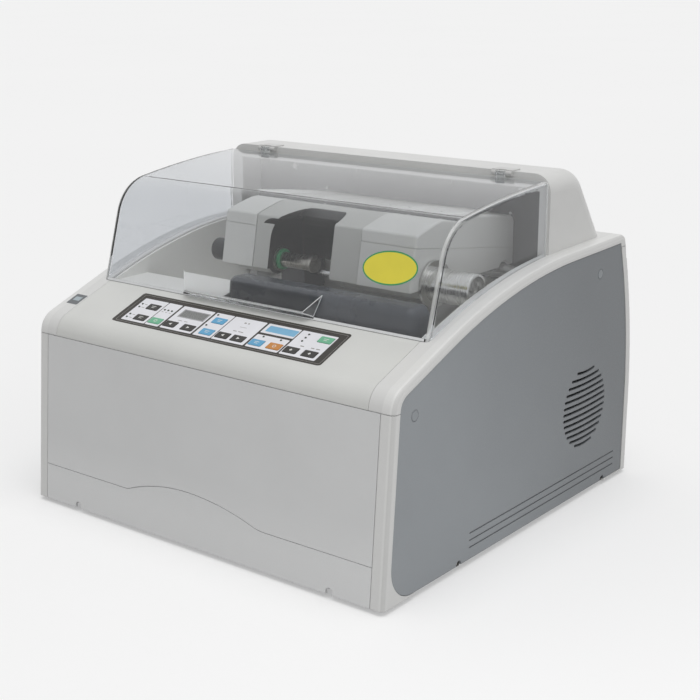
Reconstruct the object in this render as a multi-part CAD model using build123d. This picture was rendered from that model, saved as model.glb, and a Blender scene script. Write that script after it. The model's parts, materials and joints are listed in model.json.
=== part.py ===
from build123d import *
import os
from math import cos, radians, sin, sqrt, tan

# Bench-top lens edger. Millimetres. While it is built, y runs back from the front edge of the
# casing and z up from the casing's underside. Export moves it to stand on its feet, centred.

# ---------------------------------------------------------------- casing
WIDTH = 500.0
DEPTH = 503.0
FRONT_LEAN = 4.7            # degrees the front face leans back
DECK_SLOPE = 21.0           # degrees the control deck rises
DECK_Y = 63.0               # a point on the control deck, at the middle of the keypad
DECK_Z = 228.0
RAIL_START = 105.0          # where the slope starts to level out
RAIL_RADIUS = 734.0
TAIL_SLOPE = 1.5
REAR_STRAIGHT = 95.0        # height up to which the rear face is upright
REAR_RADIUS = 640.0
BROW_ROUND = 25.0
TAIL_ROUND = 9.0
EDGE_ROUND = 6.0
SHELL_T = 4.0
COVER_T = 3.0
SEAM = 0.6
FACE_SEAM_Z = 193.0
REAR_SEAM_Z = 282.0
BAND_X = WIDTH / 2 - 30.0              # inner edge of the side rails
COVER_X = WIDTH / 2 - 15.7             # edge of the front covers
FLANGE_W = 7.0
LEDGE_W = 3.8
LEDGE_STEP = 4.0
TRIM_FRONT = 10.0
TRIM_TOP = 8.5
TRIM_REAR = 14.0
HEEL_ROUND = 36.0
HEEL_END = 52.0
PANEL_GAP = 0.4
PANEL_T = 3.2
SILL = 1.6                  # casing left under the side panel's pocket

# wave in the seam between front cover and skirt
WAVE_Z = 41.5
WAVE_LEFT = -101.0
WAVE_RIGHT = 98.0
WAVE_CREST_X = -8.0
WAVE_CREST = 17.0

# side panel details
VENT_Y = DEPTH - 114.5
VENT_Z = 107.5
VENT_R = 47.0
VENT_PITCH = 7.2
VENT_SLOT = 3.0
VENT_BOW = 1.6
GROOVE_START = 151.0
GROOVE_END = DEPTH - 36.0
GROOVE_LOW = 15.0
GROOVE_PITCH = 8.0
GROOVE_W = 1.2
GROOVE_DEPTH = 0.9
CAP_R = 5.5
CAP_T = 1.6
CAP_PLACES = ((50.0, 185.0), (DEPTH - 91.0, 258.5))
NOTCH_R = 4.5
NOTCH_Z = 2.5
SIDE_NOTCHES = (131.5, DEPTH - 61.5)
FRONT_NOTCHES = (69.0 - WIDTH / 2, WIDTH / 2 - 66.0)

# base and feet
TRAY_Z = 4.0
TRAY_T = 4.0
TRAY_GAP = 0.1
TRAY_TOP = TRAY_Z + TRAY_T
FOOT_DROP = 5.0
FOOT_R = 15.0
FOOT_X = WIDTH / 2 - 50.0
FOOT_INSET = 46.0

# hump at the rear
HUMP_X = WIDTH / 2 - 20.0
HUMP_FRONT = 326.0
HUMP_TOP = 379.0
HUMP_ROOF_END = HUMP_FRONT + 68.0       # where the roof line and the rear slope would meet
HUMP_FALL = 54.2            # degrees of the rear slope
HUMP_BACK_ROUND = 40.0
HUMP_SIDE_ROUND = 20.0
HUMP_T = 3.5
HUMP_LIP = 19.0             # depth of the lip above the opening
HUMP_JAMB = 16.0            # width of the jamb each side of the opening

# clear lid
LID_X = HUMP_X
LID_T = 4.0
LID_FRONT = 100.0
LID_LEAN = 16.5
LID_REAR = HUMP_FRONT - 5.5
LID_TOP = HUMP_TOP - 6.6
LID_REAR_SLOPE = 2.0
LID_CROWN_R = 1200.0
LID_BEND_R = 52.0
LID_EDGE_R = 5.0
LID_GAP = 0.3
LID_CUT_Z = 190.0           # the lid is drawn down to here, then cut to sit on the casing
LID_RIM_Z = 215.0           # only edges above this are rounded
PULL_X = -8.0
PULL_W = 200.0
PULL_TOP = 24.0
PULL_OUT = 8.0
PULL_TAPER = 16.0
PULL_LIP = 6.0              # height of the ledge's front edge above the rails
PULL_FOOT = 1.5
HINGE_X = LID_X - 60.0
HINGE_R = 2.6
HINGE_PIN_R = 1.2
HINGE_Y = HUMP_FRONT - 2.8
HINGE_Z = HUMP_TOP - 2.4
HINGE_W = 26.0
HINGE_EYE = 10.0
HINGE_PLATE = 1.2
HINGE_LAP = 14.0            # how far the bracket lies on the hump
HINGE_WEB = 6.0

# keypad
OVERLAY_X = -2.0
OVERLAY_W = 290.0
OVERLAY_H = 55.0
OVERLAY_T = 1.5
OVERLAY_PROUD = 0.3
KEYHOLE_W = 276.0
KEYHOLE_H = 46.0
KEY_W = 17.0
KEY_H = 10.0
KEY_GAP = 0.3
KEY_PROUD = 0.6
KEY_FLANGE = 1.2
KEY_FLANGE_T = 0.9
KEY_SEAT_GAP = 0.15
KEY_ROUND = 1.2
ROW_LOW = -14.0
ROW_HIGH = 7.3
ROW_TOP = 11.8
KEYS = {
    "key_lens_type": (-118.0, ROW_HIGH),
    "key_frame_type": (-118.0, ROW_LOW),
    "key_start": (-95.0, ROW_LOW),
    "key_size_down": (-72.5, ROW_LOW),
    "key_size_up": (-46.5, ROW_LOW),
    "key_bevel": (-18.8, ROW_HIGH),
    "key_polish": (-18.8, ROW_LOW),
    "key_shift_left": (4.0, ROW_LOW),
    "key_shift_right": (25.5, ROW_LOW),
    "key_rinse": (51.0, ROW_LOW),
    "key_stop": (75.0, ROW_LOW),
    "key_clamp": (123.0, ROW_TOP),
    "key_pressure_down": (97.0, ROW_LOW),
    "key_pressure_up": (121.0, ROW_LOW),
}
LAMP_R = 1.1
LAMPS = (
    (-137.0, 9.4), (-137.0, 3.6), (-137.0, -11.3), (-137.0, -17.1),
    (-100.2, 7.0), (-94.8, 7.0), (-89.4, 7.0),
    (-28.6, 16.6), (-28.6, -3.4),
    (51.5, -2.6), (75.0, -2.6),
    (98.4, 15.2), (98.4, 9.2), (98.4, 3.2),
)
DISPLAY_X = -56.5
DISPLAY_V = 7.6
DISPLAY_W = 38.0
DISPLAY_H = 14.0
BOARD_T = 1.6
BOARD_MARGIN = 7.0

# chamber tub
TUB_X = BAND_X - SEAM
TUB_T = 3.0
TUB_FRONT = 104.6
TUB_REAR = HUMP_FRONT + 46.0
TUB_FLOOR = 204.0
TUB_DROP = 2.0
TUB_FLANGE = 12.0
SHELF_Z = 242.0
SHELF_Y = 158.0
SHELF_X = -46.0
WELL_X = 62.0
WELL_FRONT = 128.0
WELL_REAR = 262.0
WELL_FLOOR = 96.0
DRAIN_R = 9.0
DRAIN_L = 24.0
BULKHEAD_T = 3.0
BULKHEAD_X = HUMP_X - 6.0
BULKHEAD_ROUND = 16.0
BULKHEAD_SCREW_X = 70.0
BULKHEAD_SCREW_INSET = 14.0
BULKHEAD_SCREW_Z = HUMP_TOP - 27.0
BULKHEAD_SCREW_R = 4.0

# splash guard
GUARD_LEFT = -46.0
GUARD_RIGHT = TUB_X - 13.4
GUARD_FRONT = 110.0
GUARD_REAR = 136.0
GUARD_TOP = 269.0
GUARD_CORNER = 12.0
GUARD_T = 2.5

# wheel spindle and motor
WHEEL_Y = 195.0
WHEEL_Z = 168.0
WHEEL_R = 50.0
SPINDLE_R = 7.5
RUNNING_GAP = 0.04
ROUGH_LEFT = -38.0
ROUGH_W = 34.0
FINISH_W = 35.0
NUT_W = 8.0
NUT_R = 14.0
BEVEL_DEPTH = 3.0
POST_X = 72.0
POST_W = 26.0
POST_HALF = 30.0
POST_RIM = 10.0
POST_SHOULDER = 3.0
POST_WINDOW = 14.0
BEARING_R = 17.5
BEARING_W = 11.0
MOTOR_Y = 330.0
MOTOR_Z = 80.0
MOTOR_R = 52.0
MOTOR_LEFT = -92.0
MOTOR_RIGHT = 78.0
MOTOR_SHAFT_R = 7.0
MOTOR_FOOT_HALF = 42.0
MOTOR_BOX_HALF = 20.0
MOTOR_BOX_RISE = 14.0
PULLEY_LEFT = -122.0
PULLEY_W = 18.0
PULLEY_FLANGE = 2.0
SPINDLE_PULLEY_R = 20.0
MOTOR_PULLEY_R = 25.0
BELT_T = 2.4
BELT_GAP = 0.15

# carriage
SHAFT_Y = TUB_REAR - 27.0
SHAFT_Z = 262.0
SHAFT_R = 8.0
SHAFT_X = TUB_X - 11.4
BRACKET_T = 12.0
BRACKET_R = 14.0
SLEEVE_R = 15.0
SLEEVE_LEFT = -44.0
SLEEVE_RIGHT = TUB_X - 137.4
COLLAR_R = 19.0
COLLAR_W = 7.6
BARREL_R = 22.0
ROD_Z = 225.0
ROD_R = 4.0
ROD_LEFT = -156.0
ARM_T = 6.0
ARM_HALF = 11.0
ACTUATOR_LEFT = -150.0
ACTUATOR_RIGHT = -112.0
ACTUATOR_TOP = 245.0
ACTUATOR_HALF = 20.0

# lens shafts
LENS_Y = 207.0
LENS_Z = 272.0
BOSS_R = 18.0
LEFT_SHAFT_R = 7.0
LEFT_SHAFT_END = -148.0
CHUCK_R = 8.5
CHUCK_FLANGE_R = 14.0
CHUCK_FLANGE_T = 5.0
CHUCK_FACE = 2.0
PAD_R = 10.0
PAD_T = 4.0
FORMER_R = 13.0
FORMER_LEFT = -146.0
FORMER_RIGHT = -114.0
FORMER_T = 2.0
KNOB_R = 18.0

# head
HEAD_FRONT = 168.0
HEAD_REAR = SHAFT_Y + 21.0
HEAD_BOTTOM = LENS_Z - 4.0
HEAD_TOP = LID_TOP - 31.0               # height of the crest
HEAD_BROW = HEAD_TOP - 14.4             # height of the edge above the front
HEAD_BROW_Y = HEAD_FRONT + 11.0
HEAD_CREST_Y = HEAD_FRONT + 60.0
HEAD_TAIL = HEAD_TOP - 18.0
HEAD_T = 3.0
HEAD_EDGE = 3.0
LEFT_CAP_OUT = -105.0
LEFT_CAP_IN = -58.3
RIGHT_CAP_OUT = TUB_X - 59.4
RIGHT_CAP_IN = RIGHT_CAP_OUT - 70.0
HEAD_SEAM = 0.6
HEAD_LINE_Z = HEAD_TOP - 27.9           # parting line at the front
HEAD_LINE_FALL = 27.0                   # how far that line drops towards the rear
ARCH_FRONT_X = -36.0
ARCH_WALL_X = -52.0
ARCH_RIGHT_X = RIGHT_CAP_IN - 38.0
ARCH_POST_T = 10.0
ARCH_OPEN_REAR = LENS_Y + 6.0
NOTCH_REAR = SHAFT_Y - 95.0
ARCH_ROOF = HEAD_TOP - 5.4
ARCH_CEILING = LENS_Z + 0.75 * (HEAD_TOP - LENS_Z)
ARCH_ROUND = 0.55 * (ARCH_ROOF - LENS_Z)
ARCH_T = 6.0
RIGHT_FACE = 32.0
CUP_R = 13.0
CUP_T = 12.0
QUILL_R = 12.0
QUILL_LEFT = 46.0
CLAMP_END = TUB_X - 6.4
QUILL_RIGHT = CLAMP_END - 15.0
RIGHT_SHAFT_R = 6.0
TIP_R = 3.0
CLAMP_FLANGE_R = 25.0
CLAMP_FLANGE_T = 3.0
CLAMP_RECESS = 11.0
CLAMP_RIM = 3.0

# cooling fan
FAN_SIZE = 92.0
FAN_DEPTH = 25.0
FAN_BORE = 43.0
FAN_HUB = 15.0
FAN_BLADE = 41.0
FAN_AXLE = 2.5
FAN_BLADES = 7

# electrics
INLET_X = 100.0 - WIDTH / 2
INLET_Z = 60.0
INLET_W = 28.0
INLET_H = 58.0
INLET_BODY = 26.0
INLET_LIP = 3.0
ROCKER_W = 12.0
ROCKER_H = 18.0
ROCKER_T = 8.0
ROCKER_TILT = 10.0
ROCKER_PIN = 1.5
SUPPLY_X = POST_X + POST_W + 12.0
SUPPLY_W = 104.0
SUPPLY_Y = 70.0
SUPPLY_L = 160.0
SUPPLY_H = 80.0
PCB_W = 110.0
PCB_X = -POST_X - POST_W - 7.0 - PCB_W
PCB_Y = 60.0
PCB_L = 150.0
PCB_LIFT = 8.0


# ---------------------------------------------------------------- helpers
def slab(sketch, x0, x1):
    """Extrude a (y, z) sketch along X from x0 to x1."""
    return extrude(Plane.YZ.offset(x0) * sketch, amount=x1 - x0)


def curtain(sketch, y0, y1):
    """Extrude an (x, z) sketch along Y from y0 to y1."""
    return extrude(Plane.XZ.offset(-y1) * sketch, amount=y1 - y0)


def block(x0, x1, y0, y1, z0, z1):
    return Pos((x0 + x1) / 2, (y0 + y1) / 2, (z0 + z1) / 2) * Box(x1 - x0, y1 - y0, z1 - z0)


def xrod(x0, x1, y, z, r):
    return Pos((x0 + x1) / 2, y, z) * Rotation(0, 90, 0) * Cylinder(r, x1 - x0)


def both(solid):
    return solid + mirror(solid, about=Plane.YZ)


def near(shape, point):
    return shape.vertices().sort_by_distance(Vector(*point))[:1]


# ---------------------------------------------------------------- casing outline
def casing(front=0.0, top=0.0, rear=0.0, base=0.0, heel=0.0):
    """Side outline of the casing in (y, z), drawn in by the given insets."""
    lean = radians(FRONT_LEAN)
    slope = radians(DECK_SLOPE)
    tail = radians(TAIL_SLOPE)
    shift = front / cos(lean)
    deck_at_0 = DECK_Z - DECK_Y * tan(slope) - top / cos(slope)
    brow_z = (deck_at_0 + shift * tan(slope)) / (1 - tan(slope) * tan(lean))
    brow = (shift + brow_z * tan(lean), brow_z)
    centre_y = RAIL_START + RAIL_RADIUS * sin(slope)
    centre_z = DECK_Z + (RAIL_START - DECK_Y) * tan(slope) - RAIL_RADIUS * cos(slope)
    radius = RAIL_RADIUS - top

    def on_rail(angle):
        return (centre_y - radius * sin(angle), centre_z + radius * cos(angle))

    rise = on_rail(slope)
    crest = on_rail((slope + tail) / 2)
    level = on_rail(tail)
    rear_y = DEPTH - REAR_RADIUS
    rear_r = REAR_RADIUS - rear
    dy = level[0] - rear_y
    dz = level[1] - REAR_STRAIGHT
    along = dy * cos(tail) + dz * sin(tail)
    run = sqrt(along ** 2 - (dy ** 2 + dz ** 2 - rear_r ** 2)) - along
    corner = (level[0] + run * cos(tail), level[1] + run * sin(tail))
    half_z = (corner[1] - REAR_STRAIGHT) / 2
    half = (rear_y + sqrt(rear_r ** 2 - half_z ** 2), REAR_STRAIGHT + half_z)
    hip = (rear_y + rear_r, REAR_STRAIGHT)
    toe = (shift + base * tan(lean), base)
    face = make_face([
        Line(toe, brow),
        Line(brow, rise),
        ThreePointArc(rise, crest, level),
        Line(level, corner),
        ThreePointArc(corner, half, hip),
        Line(hip, (hip[0], base)),
        Line((hip[0], base), toe),
    ])
    face = fillet(near(face, brow), BROW_ROUND - top)
    face = fillet(near(face, corner), max(TAIL_ROUND - rear, 1.5))
    if heel:
        face = fillet(near(face, toe), heel)
    return face


def rail_z(y, drop=0.0):
    """Height of the casing's top line at depth y, behind the start of the rail."""
    slope = radians(DECK_SLOPE)
    centre_y = RAIL_START + RAIL_RADIUS * sin(slope)
    centre_z = DECK_Z + (RAIL_START - DECK_Y) * tan(slope) - RAIL_RADIUS * cos(slope)
    return centre_z + sqrt((RAIL_RADIUS - drop) ** 2 - (y - centre_y) ** 2)


HALF_W = WIDTH / 2
FLANGE_X = HALF_W - FLANGE_W
PANEL_IN = FLANGE_X + LEDGE_W - 0.6


def envelope():
    body = slab(casing(), -HALF_W, HALF_W)
    rim = [e for e in body.edges() if abs(e.center().X) > HALF_W - 0.01 and e.center().Z > 1]
    return fillet(rim, EDGE_ROUND)


def casing_shell(solid):
    """Hollow the casing and open the pocket and ledge for each side panel."""
    inner = slab(casing(SHELL_T, SHELL_T, SHELL_T, base=-1), -FLANGE_X, FLANGE_X)
    ledge = casing(TRIM_FRONT + LEDGE_STEP, TRIM_TOP + LEDGE_STEP, TRIM_REAR + LEDGE_STEP,
                   base=SILL, heel=HEEL_ROUND - LEDGE_STEP)
    pocket = casing(TRIM_FRONT, TRIM_TOP, TRIM_REAR, base=SILL, heel=HEEL_ROUND)
    solid -= inner
    solid -= both(slab(ledge, FLANGE_X - 1, HALF_W + 1))
    return solid - both(slab(pocket, PANEL_IN, HALF_W + 1))


def hump_outline(inset=0.0, front=0.0):
    fall = radians(HUMP_FALL)
    top = HUMP_TOP - inset
    roof_end = HUMP_ROOF_END - inset * tan(fall / 2)
    low = REAR_SEAM_Z + 2
    foot = roof_end + (top - low) / tan(fall)
    root = REAR_SEAM_Z - 25
    start = HUMP_FRONT + front
    face = make_face(Polyline((start, root), (start, top), (roof_end, top), (foot, low),
                              (foot, root), close=True))
    return fillet(near(face, (roof_end, top)), HUMP_BACK_ROUND - inset)


def hump_block(inset, front, half, rounding):
    solid = slab(hump_outline(inset, front), -half, half)
    rim = [e for e in solid.edges()
           if abs(e.center().X) > half - 0.01 and e.center().Z > REAR_SEAM_Z + 5
           and e.center().Y > HUMP_FRONT + front + 1]
    return fillet(rim, rounding)


# ---------------------------------------------------------------- covers
def top_cover():
    """Both side rails and the rear hump, one moulding."""
    solid = envelope() + hump_block(0, 0, HUMP_X, HUMP_SIDE_ROUND)
    solid = casing_shell(solid)
    solid -= hump_block(HUMP_T, HUMP_T, HUMP_X - HUMP_T, HUMP_SIDE_ROUND - HUMP_T)
    solid -= block(-BAND_X, BAND_X, -1, HUMP_FRONT, 0, HUMP_TOP)
    jamb = HUMP_X - HUMP_JAMB
    solid -= block(-jamb, jamb, HUMP_FRONT - 1, HUMP_FRONT + HUMP_T + 1, 0, HUMP_TOP - HUMP_LIP)
    solid -= block(-HALF_W, HALF_W, -1, DEPTH - 60, -1, FACE_SEAM_Z + SEAM / 2)
    return solid - block(-HALF_W, HALF_W, DEPTH - 61, DEPTH + 1, -1, REAR_SEAM_Z + SEAM / 2)


def corner_post():
    """Right-hand front trim with its hooked foot and the tongue behind the front covers."""
    solid = casing_shell(envelope())
    top = FACE_SEAM_Z - SEAM / 2
    post = solid & block(COVER_X + SEAM / 2, HALF_W, -1, HEEL_END, -1, top)
    tongue = slab(casing(COVER_T) - casing(2 * COVER_T), COVER_X - 12, FLANGE_X)
    return post + (tongue & block(0, HALF_W, -1, HEEL_END, TRAY_TOP + 0.2, top))


def rear_panel():
    solid = casing_shell(envelope())
    solid &= block(-HALF_W, HALF_W, DEPTH - 60, DEPTH + 1, -1, REAR_SEAM_Z - SEAM / 2)
    return solid - inlet_opening(0)


def inlet_opening(gap):
    half_w = INLET_W / 2 - gap
    half_h = INLET_H / 2 - gap
    return block(INLET_X - half_w, INLET_X + half_w, DEPTH - SHELL_T - 1, DEPTH + 1,
                 INLET_Z - half_h, INLET_Z + half_h)


def side_panel(vented):
    outline = casing(TRIM_FRONT + PANEL_GAP, TRIM_TOP + PANEL_GAP, TRIM_REAR + PANEL_GAP,
                     base=SILL + PANEL_GAP, heel=HEEL_ROUND - PANEL_GAP)
    face_x = PANEL_IN + PANEL_T
    solid = slab(outline, PANEL_IN, face_x)
    for i in range(3):
        z = GROOVE_LOW + i * GROOVE_PITCH
        solid -= block(face_x - GROOVE_DEPTH, face_x + 1, GROOVE_START, GROOVE_END,
                       z - GROOVE_W / 2, z + GROOVE_W / 2)
    for y, z in CAP_PLACES:
        solid -= xrod(face_x - CAP_T + 0.3, face_x + 1, y, z, CAP_R + 0.15)
    for y in SIDE_NOTCHES:
        solid -= xrod(PANEL_IN - 1, face_x + 1, y, NOTCH_Z, NOTCH_R)
    if vented:
        rows = int(2 * VENT_R / VENT_PITCH)
        for i in range(rows):
            z = (i - (rows - 1) / 2) * VENT_PITCH
            half = sqrt(VENT_R ** 2 - z ** 2)
            bow = ThreePointArc((VENT_Y - half, VENT_Z + z), (VENT_Y, VENT_Z + z - VENT_BOW),
                                (VENT_Y + half, VENT_Z + z))
            solid -= slab(SlotArc(bow, VENT_SLOT), PANEL_IN - 1, face_x + 1)
    return solid


def screw_caps():
    face_x = PANEL_IN + PANEL_T + 0.3
    caps = [xrod(face_x - CAP_T, face_x, y, z, CAP_R) for y, z in CAP_PLACES]
    caps = [chamfer(c.edges().group_by(Axis.X)[-1], 0.4) for c in caps]
    return caps + [mirror(c, about=Plane.YZ) for c in caps]


def skirt_region(lift):
    """Region below the wavy seam, in (x, z), raised by lift."""
    low = WAVE_Z + lift
    start = (WAVE_LEFT, low)
    crest = (WAVE_CREST_X, low + WAVE_CREST)
    fall = (WAVE_RIGHT - 30, low + 0.38 * WAVE_CREST)
    wave_in = ThreePointArc(start, (WAVE_LEFT * 0.72, low + 0.55 * WAVE_CREST), crest)
    wave_out = TangentArc(crest, fall, tangent=wave_in % 1)
    run_out = Spline(fall, (WAVE_RIGHT, low), tangents=[wave_out % 1, (1, 0)])
    return make_face([
        Line((-WIDTH, low), start),
        wave_in,
        wave_out,
        run_out,
        Line((WAVE_RIGHT, low), (WIDTH, low)),
        Line((WIDTH, low), (WIDTH, -10)),
        Line((WIDTH, -10), (-WIDTH, -10)),
        Line((-WIDTH, -10), (-WIDTH, low)),
    ])


def front_band(inset, thick, half):
    return slab(casing(inset) - casing(inset + thick), -half, half)


def front_cover():
    edge = COVER_X - SEAM / 2
    solid = front_band(0, COVER_T, edge)
    solid &= block(-HALF_W, HALF_W, -1, HEEL_END, 0, FACE_SEAM_Z - SEAM / 2)
    return solid - curtain(skirt_region(SEAM / 2), -1, HEEL_END)


def front_skirt():
    edge = COVER_X - SEAM / 2
    solid = front_band(0, COVER_T, edge) & curtain(skirt_region(-SEAM / 2), -1, HEEL_END)
    backing = front_band(COVER_T, COVER_T, COVER_X - 12.4)
    backing &= block(-HALF_W, HALF_W, -1, HEEL_END, WAVE_Z - 8, WAVE_Z + WAVE_CREST + 6)
    solid += backing
    for x in FRONT_NOTCHES:
        solid -= curtain(Pos(x, NOTCH_Z) * Circle(NOTCH_R), -1, HEEL_END)
    return solid


deck_plane = Plane(origin=(0, DECK_Y, DECK_Z), x_dir=(1, 0, 0),
                   z_dir=(0, -sin(radians(DECK_SLOPE)), cos(radians(DECK_SLOPE))))


def on_deck(sketch, u, v, w0, w1):
    """Extrude a sketch on the deck from height w0 to w1 above its surface."""
    return extrude(deck_plane.offset(w0) * Pos(u, v) * sketch, amount=w1 - w0)


def control_deck():
    half = BAND_X - SEAM / 2
    solid = slab(casing() - casing(COVER_T, COVER_T, SHELL_T), -half, half)
    solid &= block(-HALF_W, HALF_W, -1, TUB_FRONT - SEAM / 2, FACE_SEAM_Z + SEAM / 2, HUMP_TOP)
    lip_top = DECK_Z + (TUB_FRONT - DECK_Y) * tan(radians(DECK_SLOPE)) - COVER_T
    solid += block(-half, half, TUB_FRONT - COVER_T, TUB_FRONT, TUB_FLOOR, lip_top - 0.4)
    recess = OVERLAY_T - OVERLAY_PROUD
    solid -= on_deck(RectangleRounded(OVERLAY_W + 0.4, OVERLAY_H + 0.4, 3.0),
                     OVERLAY_X, 0, -recess, 4)
    return solid - on_deck(RectangleRounded(KEYHOLE_W, KEYHOLE_H, 2.0), OVERLAY_X, 0, -8, 4)


OVERLAY_UNDER = OVERLAY_PROUD - OVERLAY_T


def keypad_overlay():
    solid = on_deck(RectangleRounded(OVERLAY_W, OVERLAY_H, 2.8), OVERLAY_X, 0,
                    OVERLAY_UNDER, OVERLAY_PROUD)
    for u, v in KEYS.values():
        hole = RectangleRounded(KEY_W + 2 * KEY_GAP, KEY_H + 2 * KEY_GAP, KEY_ROUND + KEY_GAP)
        solid -= on_deck(hole, u, v, -4, 4)
    for u, v in LAMPS:
        solid -= on_deck(Circle(LAMP_R + 0.1), u, v, -4, 4)
    return solid - on_deck(Rectangle(DISPLAY_W, DISPLAY_H), DISPLAY_X, DISPLAY_V, -4, 4)


def key(u, v):
    cap_under = OVERLAY_UNDER - KEY_SEAT_GAP
    cap = on_deck(RectangleRounded(KEY_W, KEY_H, KEY_ROUND), u, v, cap_under,
                  OVERLAY_PROUD + KEY_PROUD)
    top = cap.faces().sort_by(Axis(deck_plane.origin, deck_plane.z_dir))[-1]
    cap = fillet(top.edges(), 0.35)
    flange = on_deck(Rectangle(KEY_W + 2 * KEY_FLANGE, KEY_H + 2 * KEY_FLANGE), u, v,
                     cap_under - KEY_FLANGE_T, cap_under)
    return cap + flange


BOARD_TOP = -COVER_T


def keypad_board():
    """Key board seated on the underside of the deck, with its lamps and display module."""
    solid = on_deck(Rectangle(KEYHOLE_W + 2 * BOARD_MARGIN, KEYHOLE_H + BOARD_MARGIN), OVERLAY_X,
                    0, BOARD_TOP - BOARD_T, BOARD_TOP)
    for u, v in LAMPS:
        lamp = on_deck(Circle(LAMP_R), u, v, BOARD_TOP - 0.2, OVERLAY_PROUD + 0.3)
        solid += lamp
    return solid + on_deck(Rectangle(DISPLAY_W + 2, DISPLAY_H - 0.6), DISPLAY_X, DISPLAY_V,
                           BOARD_TOP - 0.2, OVERLAY_UNDER - 0.2)


def display_window():
    return on_deck(Rectangle(DISPLAY_W - 0.2, DISPLAY_H - 0.2), DISPLAY_X, DISPLAY_V,
                   OVERLAY_UNDER - 0.2, OVERLAY_PROUD + 0.1)


# ---------------------------------------------------------------- base
def base_tray():
    half = FLANGE_X - TRAY_GAP
    outline = casing(SHELL_T + TRAY_GAP, SHELL_T, SHELL_T + TRAY_GAP, base=TRAY_Z)
    solid = slab(outline, -half, half) & block(-half, half, -1, DEPTH, 0, TRAY_TOP)
    for x in (PCB_X + 8, PCB_X + PCB_W - 8):
        for y in (PCB_Y + 8, PCB_Y + PCB_L - 8):
            solid += Pos(x, y, TRAY_TOP + PCB_LIFT / 2) * Cylinder(4, PCB_LIFT)
    slots = GridLocations(14, 40, 8, 2)
    for spot in slots.locations:
        x, y = spot.position.X, spot.position.Y
        solid -= Pos(x, DEPTH / 2 - 110 + y, TRAY_Z) * Box(5, 30, 3 * TRAY_T)
    return solid


def foot_places():
    return [(x, y) for x in (-FOOT_X, FOOT_X) for y in (FOOT_INSET, DEPTH - FOOT_INSET)]


def rubber_feet():
    feet = []
    for x, y in foot_places():
        foot = Pos(x, y, (TRAY_Z - FOOT_DROP) / 2) * Cylinder(FOOT_R, TRAY_Z + FOOT_DROP)
        feet.append(chamfer(foot.edges().group_by(Axis.Z)[0], 1.5))
    return feet


# ---------------------------------------------------------------- lid
def lid_outline(inset=0.0, low=LID_CUT_Z, rear=0.0):
    lean = radians(LID_LEAN)
    foot_z = rail_z(LID_FRONT + 5)
    crown_r = LID_CROWN_R - inset
    crown_y = LID_REAR + LID_CROWN_R * sin(radians(LID_REAR_SLOPE))
    crown_z = LID_TOP - LID_CROWN_R * cos(radians(LID_REAR_SLOPE))

    def on_crown(y):
        return (y, crown_z + sqrt(crown_r ** 2 - (y - crown_y) ** 2))

    def front_y(z):
        return LID_FRONT + inset / cos(lean) + (z - foot_z) * tan(lean)

    bend = on_crown(front_y(LID_TOP))
    for _ in range(30):
        bend = on_crown(front_y(bend[1]))
    back = on_crown(LID_REAR + rear)
    middle = on_crown((bend[0] + back[0]) / 2)
    face = make_face([
        Line((front_y(low), low), bend),
        ThreePointArc(bend, middle, back),
        Line(back, (back[0], low)),
        Line((back[0], low), (front_y(low), low)),
    ])
    return fillet(near(face, bend), LID_BEND_R - inset)


def lid_pull():
    """Wedge-shaped pull ledge at the foot of the lid's front wall."""
    lean = radians(LID_LEAN)
    foot = rail_z(LID_FRONT + 5)
    wedge = make_face(Polyline(
        (LID_FRONT + PULL_TOP * tan(lean) + 1, foot + PULL_TOP),
        (LID_FRONT - PULL_OUT, foot + PULL_LIP),
        (LID_FRONT + 1, foot + PULL_FOOT),
        close=True))
    half = PULL_W / 2
    solid = slab(wedge, PULL_X - half, PULL_X + half)
    back = LID_FRONT + PULL_TOP * tan(lean) + 2
    plan = make_face(Polyline(
        (PULL_X - half, back), (PULL_X - half + PULL_TAPER, LID_FRONT - PULL_OUT),
        (PULL_X + half - PULL_TAPER, LID_FRONT - PULL_OUT), (PULL_X + half, back), close=True))
    return solid & extrude(Plane.XY.offset(foot) * plan, amount=PULL_TOP + 1)


def hinge_places():
    return (-HINGE_X, HINGE_X)


def lid():
    outer = slab(lid_outline(), -LID_X, LID_X)
    rim = [e for e in outer.edges()
           if abs(e.center().X) > LID_X - 0.01 and e.center().Z > LID_RIM_Z
           and e.center().Y < LID_REAR - 1]
    outer = fillet(rim, LID_EDGE_R)
    inner = slab(lid_outline(LID_T, low=LID_CUT_Z - 10, rear=10), -LID_X + LID_T, LID_X - LID_T)
    rim = [e for e in inner.edges()
           if abs(e.center().X) > LID_X - LID_T - 0.01 and e.center().Z > LID_RIM_Z
           and e.center().Y < LID_REAR + 5]
    inner = fillet(rim, LID_EDGE_R - 3.0)
    solid = outer - inner + (lid_pull() - inner)
    solid -= slab(casing(-LID_GAP, -LID_GAP, -LID_GAP, base=-5), -HALF_W - 1, HALF_W + 1)
    for x in hinge_places():
        eye = xrod(x - HINGE_EYE / 2, x + HINGE_EYE / 2, HINGE_Y, HINGE_Z, HINGE_R)
        web = block(x - HINGE_EYE / 2, x + HINGE_EYE / 2, HINGE_Y - HINGE_WEB, HINGE_Y,
                    LID_TOP - LID_T + 1, HINGE_Z + HINGE_R)
        solid += eye + web
        solid -= xrod(x - HINGE_EYE, x + HINGE_EYE, HINGE_Y, HINGE_Z, HINGE_PIN_R + 0.05)
    return solid


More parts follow.
